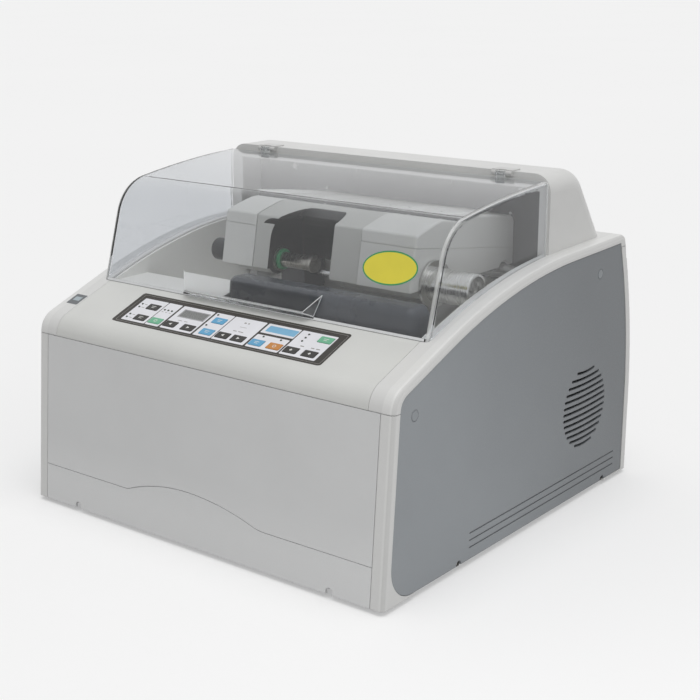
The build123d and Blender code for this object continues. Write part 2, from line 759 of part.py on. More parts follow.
def lid_hinges():
    brackets = []
    for x in hinge_places():
        half = HINGE_W / 2
        solid = block(x - half, x + half, HUMP_FRONT - 0.4, HUMP_FRONT + HINGE_LAP, HUMP_TOP,
                      HUMP_TOP + HINGE_PLATE)
        solid += block(x - half, x + half, HINGE_Y, HUMP_FRONT, HINGE_Z - HINGE_R,
                       HUMP_TOP + HINGE_PLATE)
        solid += xrod(x - half, x + half, HINGE_Y, HINGE_Z, HINGE_R)
        gap = HINGE_EYE / 2 + 0.3
        solid -= block(x - gap, x + gap, HINGE_Y - 8, HUMP_FRONT - 0.1, HINGE_Z - 8, HINGE_Z + 8)
        solid += xrod(x - half, x + half, HINGE_Y, HINGE_Z, HINGE_PIN_R)
        brackets.append(solid)
    return brackets


# ---------------------------------------------------------------- chamber
def chamber_tub():
    solid = slab(casing(0, TUB_DROP, 10), -TUB_X, TUB_X)
    solid &= block(-TUB_X, TUB_X, TUB_FRONT, TUB_REAR, TUB_FLOOR - TUB_T, HUMP_TOP)
    solid -= block(-BAND_X, BAND_X, HUMP_FRONT - 2, TUB_REAR + 1, SHELF_Z + TUB_T, HUMP_TOP)
    wall = TUB_X - TUB_T
    back = TUB_REAR - TUB_T
    front = TUB_FRONT + TUB_T
    high = HUMP_TOP
    solid -= block(-wall, wall, SHELF_Y, back, TUB_FLOOR, high)
    solid -= block(SHELF_X, wall, front, SHELF_Y + 1, TUB_FLOOR, high)
    solid -= block(-wall, wall, front, back, SHELF_Z, high)
    under = TUB_FLOOR - TUB_T - 1
    solid -= block(-wall, SHELF_X - TUB_T, front, SHELF_Y - TUB_T, under, SHELF_Z - TUB_T)
    outer_x = WELL_X + TUB_T
    solid += block(-outer_x, outer_x, WELL_FRONT - TUB_T, WELL_REAR + TUB_T,
                   WELL_FLOOR - TUB_T, TUB_FLOOR)
    solid += Pos(0, WELL_REAR - 30, WELL_FLOOR - TUB_T - DRAIN_L / 2) * Cylinder(DRAIN_R + 2, DRAIN_L)
    solid -= block(-WELL_X, WELL_X, WELL_FRONT, WELL_REAR, WELL_FLOOR, TUB_FLOOR + 1)
    solid -= Pos(0, WELL_REAR - 30, WELL_FLOOR - 20) * Cylinder(DRAIN_R, 60)
    solid -= xrod(-outer_x - 1, outer_x + 1, WHEEL_Y, WHEEL_Z, SPINDLE_R + 1.5)
    rim = slab(casing(0, SHELL_T) - casing(0, SHELL_T + 2.5), TUB_X - 0.5, TUB_X + TUB_FLANGE)
    rim &= block(0, HALF_W, TUB_FRONT + 4, HUMP_FRONT - 4, TUB_FLOOR, HUMP_TOP)
    return solid + both(rim)


def rear_bulkhead():
    solid = block(-BULKHEAD_X, BULKHEAD_X, TUB_REAR, TUB_REAR + BULKHEAD_T, TUB_FLOOR,
                  HUMP_TOP - HUMP_T - 4)
    solid = fillet(solid.edges().filter_by(Axis.Y).group_by(Axis.Z)[-1], BULKHEAD_ROUND)
    outer = BULKHEAD_X - BULKHEAD_SCREW_INSET
    for x in (-outer, -BULKHEAD_SCREW_X, BULKHEAD_SCREW_X, outer):
        screw = Pos(x, TUB_REAR - 0.8, BULKHEAD_SCREW_Z) * Rotation(90, 0, 0)
        solid += screw * Cylinder(BULKHEAD_SCREW_R, 2)
    return solid


def splash_guard():
    outer = block(GUARD_LEFT, GUARD_RIGHT, GUARD_FRONT, GUARD_REAR, TUB_FLOOR, GUARD_TOP)
    corner = outer.edges().filter_by(Axis.Z).group_by(Axis.Y)[0]
    outer = fillet(corner, GUARD_CORNER)
    brow = [e for e in outer.edges() if e.center().Z > GUARD_TOP - 0.01
            and e.center().Y < GUARD_REAR - 0.01 and e.length > 3]
    outer = fillet(brow, GUARD_CORNER - 2)
    inner = block(GUARD_LEFT + GUARD_T, GUARD_RIGHT - GUARD_T, GUARD_FRONT + GUARD_T,
                  GUARD_REAR + 1, TUB_FLOOR - 1, GUARD_TOP - GUARD_T)
    corner = inner.edges().filter_by(Axis.Z).group_by(Axis.Y)[0]
    inner = fillet(corner, GUARD_CORNER - GUARD_T)
    brow = [e for e in inner.edges() if e.center().Z > GUARD_TOP - GUARD_T - 0.01
            and e.center().Y < GUARD_REAR and e.length > 3]
    return outer - fillet(brow, GUARD_CORNER - GUARD_T - 2)


# ---------------------------------------------------------------- grinding drive
def spindle_posts():
    posts = []
    for side in (-1, 1):
        x0 = min(side * POST_X, side * (POST_X + POST_W))
        solid = block(x0, x0 + POST_W, WHEEL_Y - POST_HALF, WHEEL_Y + POST_HALF, TRAY_TOP, WHEEL_Z)
        solid += xrod(x0, x0 + POST_W, WHEEL_Y, WHEEL_Z, BEARING_R + POST_RIM)
        mid = x0 + POST_W / 2
        solid -= xrod(mid - BEARING_W / 2, mid + BEARING_W / 2, WHEEL_Y, WHEEL_Z, BEARING_R)
        solid -= xrod(x0 - 1, x0 + POST_W + 1, WHEEL_Y, WHEEL_Z, BEARING_R - POST_SHOULDER)
        solid -= block(x0 - 1, x0 + POST_W + 1, WHEEL_Y - POST_WINDOW, WHEEL_Y + POST_WINDOW,
                       TRAY_TOP + 20, WHEEL_Z - BEARING_R - 22)
        posts.append(solid)
    return posts


def spindle_bearings():
    rings = []
    for side in (-1, 1):
        mid = side * (POST_X + POST_W / 2)
        ring = xrod(mid - BEARING_W / 2, mid + BEARING_W / 2, WHEEL_Y, WHEEL_Z, BEARING_R)
        ring -= xrod(mid - BEARING_W, mid + BEARING_W, WHEEL_Y, WHEEL_Z, SPINDLE_R + RUNNING_GAP)
        rings.append(ring)
    return rings


def pulley(y, z, radius):
    flange = radius + BELT_T + 1
    solid = xrod(PULLEY_LEFT, PULLEY_LEFT + PULLEY_W, y, z, radius)
    solid += xrod(PULLEY_LEFT, PULLEY_LEFT + PULLEY_FLANGE, y, z, flange)
    return solid + xrod(PULLEY_LEFT + PULLEY_W - PULLEY_FLANGE, PULLEY_LEFT + PULLEY_W, y, z, flange)


def wheel_spindle():
    end = POST_X + POST_W + 3
    solid = xrod(PULLEY_LEFT, end, WHEEL_Y, WHEEL_Z, SPINDLE_R)
    solid += pulley(WHEEL_Y, WHEEL_Z, SPINDLE_PULLEY_R)
    nut_x = ROUGH_LEFT + ROUGH_W + FINISH_W
    solid += xrod(ROUGH_LEFT - NUT_W, ROUGH_LEFT, WHEEL_Y, WHEEL_Z, NUT_R + 6)
    nut = slab(Pos(WHEEL_Y, WHEEL_Z) * RegularPolygon(NUT_R, 6), nut_x, nut_x + NUT_W)
    return solid + nut


def rough_wheel():
    solid = xrod(ROUGH_LEFT, ROUGH_LEFT + ROUGH_W - 0.5, WHEEL_Y, WHEEL_Z, WHEEL_R)
    return solid - xrod(ROUGH_LEFT - 1, ROUGH_LEFT + ROUGH_W + 1, WHEEL_Y, WHEEL_Z, SPINDLE_R)


def finish_wheel():
    left = ROUGH_LEFT + ROUGH_W - 0.5
    right = ROUGH_LEFT + ROUGH_W + FINISH_W
    solid = xrod(left, right, WHEEL_Y, WHEEL_Z, WHEEL_R)
    mid = left + 11
    groove = Plane.XY * make_face(Polyline((mid - 2.5, WHEEL_R + 0.1), (mid, WHEEL_R - BEVEL_DEPTH),
                                           (mid + 2.5, WHEEL_R + 0.1), close=True))
    ring = revolve(groove, Axis.X)
    solid -= Pos(0, WHEEL_Y, WHEEL_Z) * ring
    return solid - xrod(left - 1, right + 1, WHEEL_Y, WHEEL_Z, SPINDLE_R)


def wheel_motor():
    solid = xrod(MOTOR_LEFT, MOTOR_RIGHT, MOTOR_Y, MOTOR_Z, MOTOR_R)
    solid = chamfer(solid.edges(), 4)
    solid += block(MOTOR_LEFT + 25, MOTOR_RIGHT - 25, MOTOR_Y - MOTOR_FOOT_HALF,
                   MOTOR_Y + MOTOR_FOOT_HALF, TRAY_TOP, MOTOR_Z - 20)
    solid += block(MOTOR_LEFT + 40, MOTOR_RIGHT - 60, MOTOR_Y - MOTOR_BOX_HALF,
                   MOTOR_Y + MOTOR_BOX_HALF, MOTOR_Z, MOTOR_Z + MOTOR_R + MOTOR_BOX_RISE)
    stub = PULLEY_LEFT - 3
    return solid + xrod(stub, MOTOR_LEFT + 1, MOTOR_Y, MOTOR_Z, MOTOR_SHAFT_R)


def motor_pulley():
    solid = pulley(MOTOR_Y, MOTOR_Z, MOTOR_PULLEY_R)
    return solid - xrod(PULLEY_LEFT - 1, PULLEY_LEFT + PULLEY_W + 1, MOTOR_Y, MOTOR_Z,
                        MOTOR_SHAFT_R + RUNNING_GAP)


def loop_outline(grow):
    """Outline of a belt round both pulleys, in (y, z), its radii grown by grow."""
    ra = SPINDLE_PULLEY_R + grow
    rb = MOTOR_PULLEY_R + grow
    a = Vector(WHEEL_Y, WHEEL_Z)
    b = Vector(MOTOR_Y, MOTOR_Z)
    line = b - a
    along = line.normalized()
    side = Vector(-along.Y, along.X)
    tilt = (ra - rb) / line.length
    spread = sqrt(1 - tilt ** 2)
    up = along * tilt + side * spread
    down = along * tilt - side * spread
    quad = make_face(Polyline(a + up * ra, b + up * rb, b + down * rb, a + down * ra, close=True))
    return quad + Pos(WHEEL_Y, WHEEL_Z) * Circle(ra) + Pos(MOTOR_Y, MOTOR_Z) * Circle(rb)


def drive_belt():
    inset = PULLEY_FLANGE + 0.5
    loop = loop_outline(BELT_GAP + BELT_T) - loop_outline(BELT_GAP)
    return slab(loop, PULLEY_LEFT + inset, PULLEY_LEFT + PULLEY_W - inset)


# ---------------------------------------------------------------- carriage
def carriage_shaft():
    return xrod(-SHAFT_X, SHAFT_X, SHAFT_Y, SHAFT_Z, SHAFT_R)


def shaft_brackets():
    brackets = []
    for side in (-1, 1):
        x0 = min(side * (SHAFT_X - BRACKET_T), side * SHAFT_X)
        solid = block(x0, x0 + BRACKET_T, SHAFT_Y - BRACKET_R, SHAFT_Y + BRACKET_R,
                      TUB_FLOOR, SHAFT_Z)
        solid += xrod(x0, x0 + BRACKET_T, SHAFT_Y, SHAFT_Z, BRACKET_R)
        brackets.append(solid - xrod(x0 - 1, x0 + BRACKET_T + 1, SHAFT_Y, SHAFT_Z, SHAFT_R))
    return brackets


def carriage_sleeve():
    """Sleeve that slides on the carriage shaft, with the drive arm and rod."""
    solid = xrod(SLEEVE_LEFT, SLEEVE_RIGHT, SHAFT_Y, SHAFT_Z, SLEEVE_R)
    solid += xrod(SLEEVE_LEFT, SLEEVE_LEFT + COLLAR_W, SHAFT_Y, SHAFT_Z, COLLAR_R)
    solid += xrod(SLEEVE_RIGHT - COLLAR_W / 2, SLEEVE_RIGHT, SHAFT_Y, SHAFT_Z, COLLAR_R)
    solid += block(SLEEVE_LEFT, SLEEVE_LEFT + ARM_T, SHAFT_Y - ARM_HALF, SHAFT_Y + ARM_HALF,
                   ROD_Z - ROD_R, SHAFT_Z)
    solid -= xrod(SLEEVE_LEFT - 1, SLEEVE_RIGHT + 1, SHAFT_Y, SHAFT_Z, SHAFT_R + RUNNING_GAP)
    return solid + xrod(ROD_LEFT, SLEEVE_LEFT + 1, SHAFT_Y, ROD_Z, ROD_R)


def traverse_motor():
    solid = block(ACTUATOR_LEFT, ACTUATOR_RIGHT, SHAFT_Y - ACTUATOR_HALF, SHAFT_Y + ACTUATOR_HALF,
                  TUB_FLOOR, ACTUATOR_TOP)
    solid = chamfer(solid.edges().filter_by(Axis.X), 3)
    return solid - xrod(ACTUATOR_LEFT - 1, ACTUATOR_RIGHT + 1, SHAFT_Y, ROD_Z, ROD_R + RUNNING_GAP)


def head_outline(inset=0.0, base=HEAD_BOTTOM):
    """Side outline of the head in (y, z): leaning front, brow, rise to the crest, fall to the rear."""
    lean = (HEAD_BROW_Y - HEAD_FRONT) / (HEAD_BROW - HEAD_BOTTOM)
    rear = HEAD_REAR - inset
    brow = (HEAD_BROW_Y + inset, HEAD_BROW - inset)
    crest = (HEAD_CREST_Y, HEAD_TOP - inset)
    tail = (rear, HEAD_TAIL - inset)
    toe = (brow[0] - lean * (brow[1] - base), base)
    face = make_face(Polyline(toe, brow, crest, tail, (rear, base), close=True))
    face = fillet(near(face, crest), 36 - inset)
    face = fillet(near(face, tail), 10 - inset)
    return fillet(near(face, brow), 4 - inset) if inset < 3 else face


def head_block(x_in, x_out, inset, base, edge):
    """Solid with the head's outline, its outer end rounded by edge."""
    solid = slab(head_outline(inset, base), min(x_in, x_out), max(x_in, x_out))
    if not edge:
        return solid
    rim = [e for e in solid.edges() if abs(e.center().X - x_out) < 0.01 and e.center().Z > base + 1]
    return fillet(rim, edge)


def head_shell(x_in, x_out):
    """One end cap of the head: closed outside, open inwards and below."""
    side = 1 if x_out > x_in else -1
    low = min(x_in, x_out)
    high = max(x_in, x_out)
    solid = head_block(x_in, x_out, 0, HEAD_BOTTOM, HEAD_EDGE)
    fall = HEAD_LINE_FALL / (HEAD_REAR - HEAD_BROW_Y)
    front = HEAD_FRONT - 5
    rear = HEAD_REAR + 5
    high_z = HEAD_LINE_Z + fall * (HEAD_BROW_Y - front)
    low_z = HEAD_LINE_Z - fall * (rear - HEAD_BROW_Y)
    band = make_face(Polyline((front, high_z + 0.4), (rear, low_z + 0.4), (rear, low_z - 0.4),
                              (front, high_z - 0.4), close=True))
    groove = slab(band, low - 1, high + 1)
    groove -= head_block(x_in - side * 5, x_out - side * 0.8, 0.8, HEAD_BOTTOM - 1, 0)
    solid -= groove
    solid -= head_block(x_in - side, x_out - side * HEAD_T, HEAD_T, HEAD_BOTTOM - 1, 0)
    solid -= xrod(low - 1, high + 1, SHAFT_Y, SHAFT_Z, 12)
    return solid


def head_cap_left():
    solid = head_shell(LEFT_CAP_IN, LEFT_CAP_OUT)
    return solid - xrod(LEFT_CAP_OUT - 1, LEFT_CAP_IN, LENS_Y, LENS_Z, LEFT_SHAFT_R + 2)


def head_cap_right():
    solid = head_shell(RIGHT_CAP_IN, RIGHT_CAP_OUT)
    return solid - xrod(RIGHT_CAP_IN, RIGHT_CAP_OUT + 1, LENS_Y, LENS_Z, QUILL_R + 1)


def head_bridge():
    """Cast arch of the head with its two shaft bosses and the barrel that rides on the sleeve."""
    left = LEFT_CAP_IN + HEAD_SEAM
    right = RIGHT_CAP_IN - HEAD_SEAM
    solid = slab(head_outline(0.6), left, right)
    mouth = make_face(Polyline((ARCH_FRONT_X, 0), (ARCH_FRONT_X, ARCH_ROOF), (ARCH_RIGHT_X, ARCH_ROOF),
                               (ARCH_RIGHT_X, 0), close=True))
    mouth = fillet(near(mouth, (ARCH_FRONT_X, ARCH_ROOF)), ARCH_ROUND)
    mouth = fillet(near(mouth, (ARCH_RIGHT_X, ARCH_ROOF)), ARCH_ROUND / 3)
    solid -= curtain(mouth, 0, ARCH_OPEN_REAR)
    pocket = make_face(Polyline((ARCH_WALL_X, 0), (ARCH_WALL_X, ARCH_CEILING),
                                (ARCH_RIGHT_X, ARCH_CEILING), (ARCH_RIGHT_X, 0), close=True))
    pocket = fillet(near(pocket, (ARCH_WALL_X, ARCH_CEILING)), ARCH_ROUND / 2)
    solid -= curtain(pocket, HEAD_FRONT + ARCH_POST_T, NOTCH_REAR)
    cavity = slab(head_outline(ARCH_T, HEAD_BOTTOM - 5), ARCH_WALL_X + 1, right - ARCH_T)
    solid -= cavity & block(-HALF_W, HALF_W, NOTCH_REAR + 4, DEPTH, 0, HUMP_TOP)
    solid -= cavity & block(ARCH_RIGHT_X + ARCH_T, HALF_W, 0, DEPTH, 0, HUMP_TOP)
    boss_left = LEFT_CAP_OUT + HEAD_T + 0.4
    boss_right = RIGHT_CAP_OUT - HEAD_T - 0.4
    solid += xrod(boss_left, ARCH_WALL_X, LENS_Y, LENS_Z, BOSS_R)
    solid += block(boss_left + 4, left, LENS_Y, HEAD_REAR - 55, HEAD_BOTTOM, HEAD_LINE_Z - 1)
    solid += xrod(ARCH_RIGHT_X, boss_right, LENS_Y, LENS_Z, BOSS_R)
    solid += block(right - 4, boss_right - 8, LENS_Y, HEAD_REAR - 40, HEAD_BOTTOM, HEAD_LINE_Z - 1)
    solid += block(right - 4, right + 20, NOTCH_REAR, HEAD_REAR - 10, HEAD_BOTTOM, HEAD_LINE_Z - 1)
    solid -= xrod(boss_left - 1, boss_right + 1, SHAFT_Y, SHAFT_Z, SHAFT_R + 4)
    solid -= xrod(ARCH_WALL_X + 1, SLEEVE_LEFT + COLLAR_W + 0.4, SHAFT_Y, SHAFT_Z, COLLAR_R + 1)
    solid -= xrod(SLEEVE_RIGHT - COLLAR_W / 2 - 0.4, right - ARCH_T + 1, SHAFT_Y, SHAFT_Z, COLLAR_R + 1)
    barrel_left = SLEEVE_LEFT + COLLAR_W + 0.3
    barrel_right = SLEEVE_RIGHT - COLLAR_W / 2 - 0.3
    solid += xrod(barrel_left, barrel_right, SHAFT_Y, SHAFT_Z, BARREL_R)
    solid -= xrod(barrel_left - 0.1, barrel_right + 0.1, SHAFT_Y, SHAFT_Z, SLEEVE_R + RUNNING_GAP)
    solid -= xrod(boss_left - 1, ARCH_WALL_X + 1, LENS_Y, LENS_Z, LEFT_SHAFT_R + RUNNING_GAP)
    return solid - xrod(ARCH_RIGHT_X - 1, boss_right + 1, LENS_Y, LENS_Z, QUILL_R + RUNNING_GAP)


def left_chuck():
    solid = xrod(LEFT_SHAFT_END, ARCH_WALL_X + 0.5, LENS_Y, LENS_Z, LEFT_SHAFT_R)
    flange = ARCH_WALL_X + 0.3
    solid += xrod(flange, flange + CHUCK_FLANGE_T, LENS_Y, LENS_Z, CHUCK_FLANGE_R)
    solid += xrod(flange, CHUCK_FACE - PAD_T, LENS_Y, LENS_Z, CHUCK_R)
    return solid + xrod(CHUCK_FACE - PAD_T, CHUCK_FACE, LENS_Y, LENS_Z, PAD_R)


def former_knob():
    solid = xrod(FORMER_LEFT, FORMER_RIGHT, LENS_Y, LENS_Z, FORMER_R)
    solid = fillet(solid.edges().group_by(Axis.X)[0], 2)
    solid += xrod(FORMER_RIGHT, FORMER_RIGHT + FORMER_T, LENS_Y, LENS_Z, FORMER_R + 2)
    return solid - xrod(FORMER_LEFT - 1, FORMER_RIGHT + FORMER_T + 1, LENS_Y, LENS_Z, LEFT_SHAFT_R)


def clamp_quill():
    solid = xrod(QUILL_LEFT, QUILL_RIGHT, LENS_Y, LENS_Z, QUILL_R)
    return solid - xrod(QUILL_LEFT - 1, QUILL_RIGHT + 1, LENS_Y, LENS_Z, RIGHT_SHAFT_R + RUNNING_GAP)


def right_chuck():
    solid = xrod(RIGHT_FACE + PAD_T, RIGHT_FACE + CUP_T, LENS_Y, LENS_Z, CUP_R)
    solid += xrod(RIGHT_FACE, RIGHT_FACE + PAD_T, LENS_Y, LENS_Z, PAD_R)
    solid += xrod(RIGHT_FACE + CUP_T, QUILL_RIGHT, LENS_Y, LENS_Z, RIGHT_SHAFT_R)
    return solid + xrod(QUILL_RIGHT, QUILL_RIGHT + 7, LENS_Y, LENS_Z, TIP_R)


def clamp_knob():
    start = RIGHT_CAP_OUT + HEAD_SEAM
    solid = xrod(start, start + CLAMP_FLANGE_T, LENS_Y, LENS_Z, CLAMP_FLANGE_R)
    solid += xrod(start, CLAMP_END, LENS_Y, LENS_Z, KNOB_R)
    rim = [e for e in solid.edges() if abs(e.center().X - CLAMP_END) < 0.01]
    solid = chamfer(rim, 0.8)
    solid -= xrod(CLAMP_END - CLAMP_RECESS, CLAMP_END + 1, LENS_Y, LENS_Z, KNOB_R - CLAMP_RIM)
    return solid - xrod(start - 1, CLAMP_END + 1, LENS_Y, LENS_Z, QUILL_R + RUNNING_GAP)


# ---------------------------------------------------------------- cooling fan
FAN_RIGHT = PANEL_IN
FAN_LEFT = PANEL_IN - FAN_DEPTH


def fan_frame():
    half = FAN_SIZE / 2
    solid = block(FAN_LEFT, FAN_RIGHT, VENT_Y - half, VENT_Y + half, VENT_Z - half, VENT_Z + half)
    solid = fillet(solid.edges().filter_by(Axis.X), 5)
    solid -= xrod(FAN_LEFT - 1, FAN_RIGHT + 1, VENT_Y, VENT_Z, FAN_BORE)
    spokes = Rectangle(2 * FAN_BORE + 2, 4) + Rectangle(4, 2 * FAN_BORE + 2) + Circle(FAN_HUB)
    solid += slab(Pos(VENT_Y, VENT_Z) * Rot(0, 0, 45) * spokes, FAN_LEFT, FAN_LEFT + 3)
    return solid + xrod(FAN_LEFT + 2, FAN_RIGHT - 6, VENT_Y, VENT_Z, FAN_AXLE)


def fan_rotor():
    left = FAN_LEFT + 3.5
    right = FAN_RIGHT - 3
    solid = xrod(left, right, VENT_Y, VENT_Z, FAN_HUB)
    for i in range(FAN_BLADES):
        blade = Pos(0, (FAN_HUB + FAN_BLADE) / 2, 0) * Rotation(0, 35, 0) * Box(
            2, FAN_BLADE - FAN_HUB + 3, right - left - 4)
        blade = Rotation(0, 90, 0) * (Rotation(0, 0, 360 / FAN_BLADES * i) * blade)
        solid += Pos((left + right) / 2, VENT_Y, VENT_Z) * blade
    return solid - xrod(left - 1, FAN_RIGHT - 5.5, VENT_Y, VENT_Z, FAN_AXLE + RUNNING_GAP)


# ---------------------------------------------------------------- electrics
ROCKER_Y = DEPTH - ROCKER_T / 2 - 2.5
ROCKER_PLACE_Z = INLET_Z + 15.0


def power_inlet():
    rear = DEPTH - 0.5
    solid = inlet_opening(0.2) & block(-HALF_W, HALF_W, 0, rear, 0, HUMP_TOP)
    inner = DEPTH - SHELL_T
    solid += block(INLET_X - INLET_W / 2 + 2, INLET_X + INLET_W / 2 - 2, inner - INLET_BODY, inner + 1,
                   INLET_Z - INLET_H / 2 + 2, INLET_Z + INLET_H / 2 - 2)
    solid += block(INLET_X - INLET_W / 2 - INLET_LIP, INLET_X + INLET_W / 2 + INLET_LIP,
                   inner - 2, inner, INLET_Z - INLET_H / 2 - INLET_LIP,
                   INLET_Z + INLET_H / 2 + INLET_LIP)
    socket_z = INLET_Z - 12
    solid -= block(INLET_X - 11, INLET_X + 11, rear - 16, DEPTH, socket_z - 8, socket_z + 8)
    for x, z in ((-7, -2), (0, 3), (7, -2)):
        solid += block(INLET_X + x - 1, INLET_X + x + 1, rear - 17, rear - 3,
                       socket_z + z - 2, socket_z + z + 2)
    solid -= block(INLET_X - ROCKER_W / 2 - 0.4, INLET_X + ROCKER_W / 2 + 0.4, rear - 16, DEPTH,
                   ROCKER_PLACE_Z - ROCKER_H / 2 - 2, ROCKER_PLACE_Z + ROCKER_H / 2 + 2)
    return solid - xrod(INLET_X - ROCKER_W / 2 - 1.8, INLET_X + ROCKER_W / 2 + 1.8, ROCKER_Y,
                        ROCKER_PLACE_Z, ROCKER_PIN + RUNNING_GAP)


def power_switch():
    body = Box(ROCKER_W, ROCKER_T, ROCKER_H)
    body = fillet(body.edges().filter_by(Axis.X), 1.2)
    solid = Pos(INLET_X, ROCKER_Y, ROCKER_PLACE_Z) * Rotation(ROCKER_TILT, 0, 0) * body
    return solid + xrod(INLET_X - ROCKER_W / 2 - 1.4, INLET_X + ROCKER_W / 2 + 1.4, ROCKER_Y,
                        ROCKER_PLACE_Z, ROCKER_PIN)


def power_supply():
    solid = block(SUPPLY_X, SUPPLY_X + SUPPLY_W, SUPPLY_Y, SUPPLY_Y + SUPPLY_L, TRAY_TOP,
                  TRAY_TOP + SUPPLY_H)
    solid = chamfer(solid.edges().filter_by(Axis.Z), 2)
    for i in range(6):
        x = SUPPLY_X + 16 + i * 14
        solid -= block(x, x + 4, SUPPLY_Y + 30, SUPPLY_Y + SUPPLY_L - 30, TRAY_TOP + SUPPLY_H - 3,
                       TRAY_TOP + SUPPLY_H + 1)
    return solid


def main_board():
    z = TRAY_TOP + PCB_LIFT
    solid = block(PCB_X, PCB_X + PCB_W, PCB_Y, PCB_Y + PCB_L, z, z + BOARD_T)
    for x, y, w, l, h in ((20, 25, 30, 24, 12), (64, 30, 24, 24, 4), (62, 80, 36, 30, 22),
                          (15, 85, 30, 12, 10), (15, 120, 80, 10, 9)):
        solid += block(PCB_X + x, PCB_X + x + w, PCB_Y + y, PCB_Y + y + l, z + 1, z + BOARD_T + h)
    return solid


# ---------------------------------------------------------------- export
def parts():
    made = {
        "base_tray": base_tray(),
        "rubber_feet": rubber_feet(),
        "front_cover": front_cover(),
        "front_skirt": front_skirt(),
        "control_deck": control_deck(),
        "top_cover": top_cover(),
        "corner_post_right": corner_post(),
        "corner_post_left": mirror(corner_post(), about=Plane.YZ),
        "side_panel_right": side_panel(True),
        "side_panel_left": mirror(side_panel(False), about=Plane.YZ),
        "screw_caps": screw_caps(),
        "rear_panel": rear_panel(),
        "rear_bulkhead": rear_bulkhead(),
        "chamber_tub": chamber_tub(),
        "splash_guard": splash_guard(),
        "keypad_overlay": keypad_overlay(),
        "keypad_board": keypad_board(),
        "display_window": display_window(),
        "lid": lid(),
        "lid_hinges": lid_hinges(),
        "wheel_motor": wheel_motor(),
        "motor_pulley": motor_pulley(),
        "drive_belt": drive_belt(),
        "spindle_posts": spindle_posts(),
        "spindle_bearings": spindle_bearings(),
        "wheel_spindle": wheel_spindle(),
        "rough_wheel": rough_wheel(),
        "finish_wheel": finish_wheel(),
        "carriage_shaft": carriage_shaft(),
        "shaft_brackets": shaft_brackets(),
        "carriage_sleeve": carriage_sleeve(),
        "traverse_motor": traverse_motor(),
        "head_bridge": head_bridge(),
        "head_cap_left": head_cap_left(),
        "head_cap_right": head_cap_right(),
        "left_chuck": left_chuck(),
        "former_knob": former_knob(),
        "clamp_quill": clamp_quill(),
        "right_chuck": right_chuck(),
        "clamp_knob": clamp_knob(),
        "fan_frame": fan_frame(),
        "fan_rotor": fan_rotor(),
        "power_inlet": power_inlet(),
        "power_switch": power_switch(),
        "power_supply": power_supply(),
        "main_board": main_board(),
    }
    for name, (u, v) in KEYS.items():
        made[name] = key(u, v)
    return made


def export(name, shape):
    stand = Pos(0, -DEPTH / 2, FOOT_DROP)
    pieces = shape if isinstance(shape, list) else [shape]
    solids = [stand * solid for piece in pieces for solid in piece.solids()]
    export_step(solids[0] if len(solids) == 1 else Compound(solids), f"parts/{name}.step")


os.makedirs("parts", exist_ok=True)
for part_name, part_shape in parts().items():
    export(part_name, part_shape)
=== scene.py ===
import json
from math import cos, pi, radians, sin

import bmesh
import bpy
from mathutils import Matrix, Vector


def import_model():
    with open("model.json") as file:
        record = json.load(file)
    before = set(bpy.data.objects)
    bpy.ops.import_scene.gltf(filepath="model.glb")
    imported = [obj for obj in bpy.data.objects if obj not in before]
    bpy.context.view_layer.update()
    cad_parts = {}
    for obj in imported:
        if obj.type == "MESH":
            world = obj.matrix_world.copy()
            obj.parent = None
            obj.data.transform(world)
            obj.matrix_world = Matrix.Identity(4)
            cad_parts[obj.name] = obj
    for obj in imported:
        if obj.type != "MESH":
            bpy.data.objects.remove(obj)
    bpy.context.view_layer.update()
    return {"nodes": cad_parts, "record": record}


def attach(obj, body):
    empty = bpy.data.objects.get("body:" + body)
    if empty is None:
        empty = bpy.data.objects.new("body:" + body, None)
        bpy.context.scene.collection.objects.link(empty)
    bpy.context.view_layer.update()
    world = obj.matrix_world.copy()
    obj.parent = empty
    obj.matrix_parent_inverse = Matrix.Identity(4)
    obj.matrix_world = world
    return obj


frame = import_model()
NODES = frame["nodes"]
SLOTS = {p["node"]: p["material_slot"] for p in frame["record"]["subparts"]}


# ------------------------------------------------------------------ places
MM = 0.001
HALF_DEPTH = 251.5          # the casing's front edge before the middle of the part, in mm
FOOT_HEIGHT = 5.0           # the casing's underside above the floor, in mm


def at(x, y, z):
    """A point in metres of the frame, given in mm.

    x is from the middle, y from the casing's front edge and z from its underside.
    """
    return Vector((x / 1000, (y - HALF_DEPTH) / 1000, (z + FOOT_HEIGHT) / 1000))


def turned_at(point, degrees, axis="X"):
    """A frame at a point, turned about one axis."""
    return Matrix.Translation(point) @ Matrix.Rotation(radians(degrees), 4, axis)


DECK = turned_at(at(0, 63, 228), 21.0)      # the control deck, x across and y up the slope
LID_LEAN = 16.5                             # degrees the lid's front wall leans back
LENS_AXIS = at(0, 207, 272)

# where one finish turns into another, in metres of the frame
TRIM_START = 0.2352                         # the casing's outer trims, from the middle
FRONT_LIGHT_START, FRONT_LIGHT_FULL = 0.085, 0.035       # heights between which the front is painted paler towards the floor, painted light
LID_RIM = 0.2250                            # the lid's side edges, from the middle
LID_FOOT = 0.304                            # below this the lid's underside is its foot
LID_SAWN = 0.0685                           # behind this the lid ends in a sawn edge
ARCH_LEFT, ARCH_RIGHT = -0.0528, 0.0530
ARCH_ROOF = 0.3415
ARCH_DEEP = 0.0060
ARCH_LIP = -0.062                           # the painted lip ends here


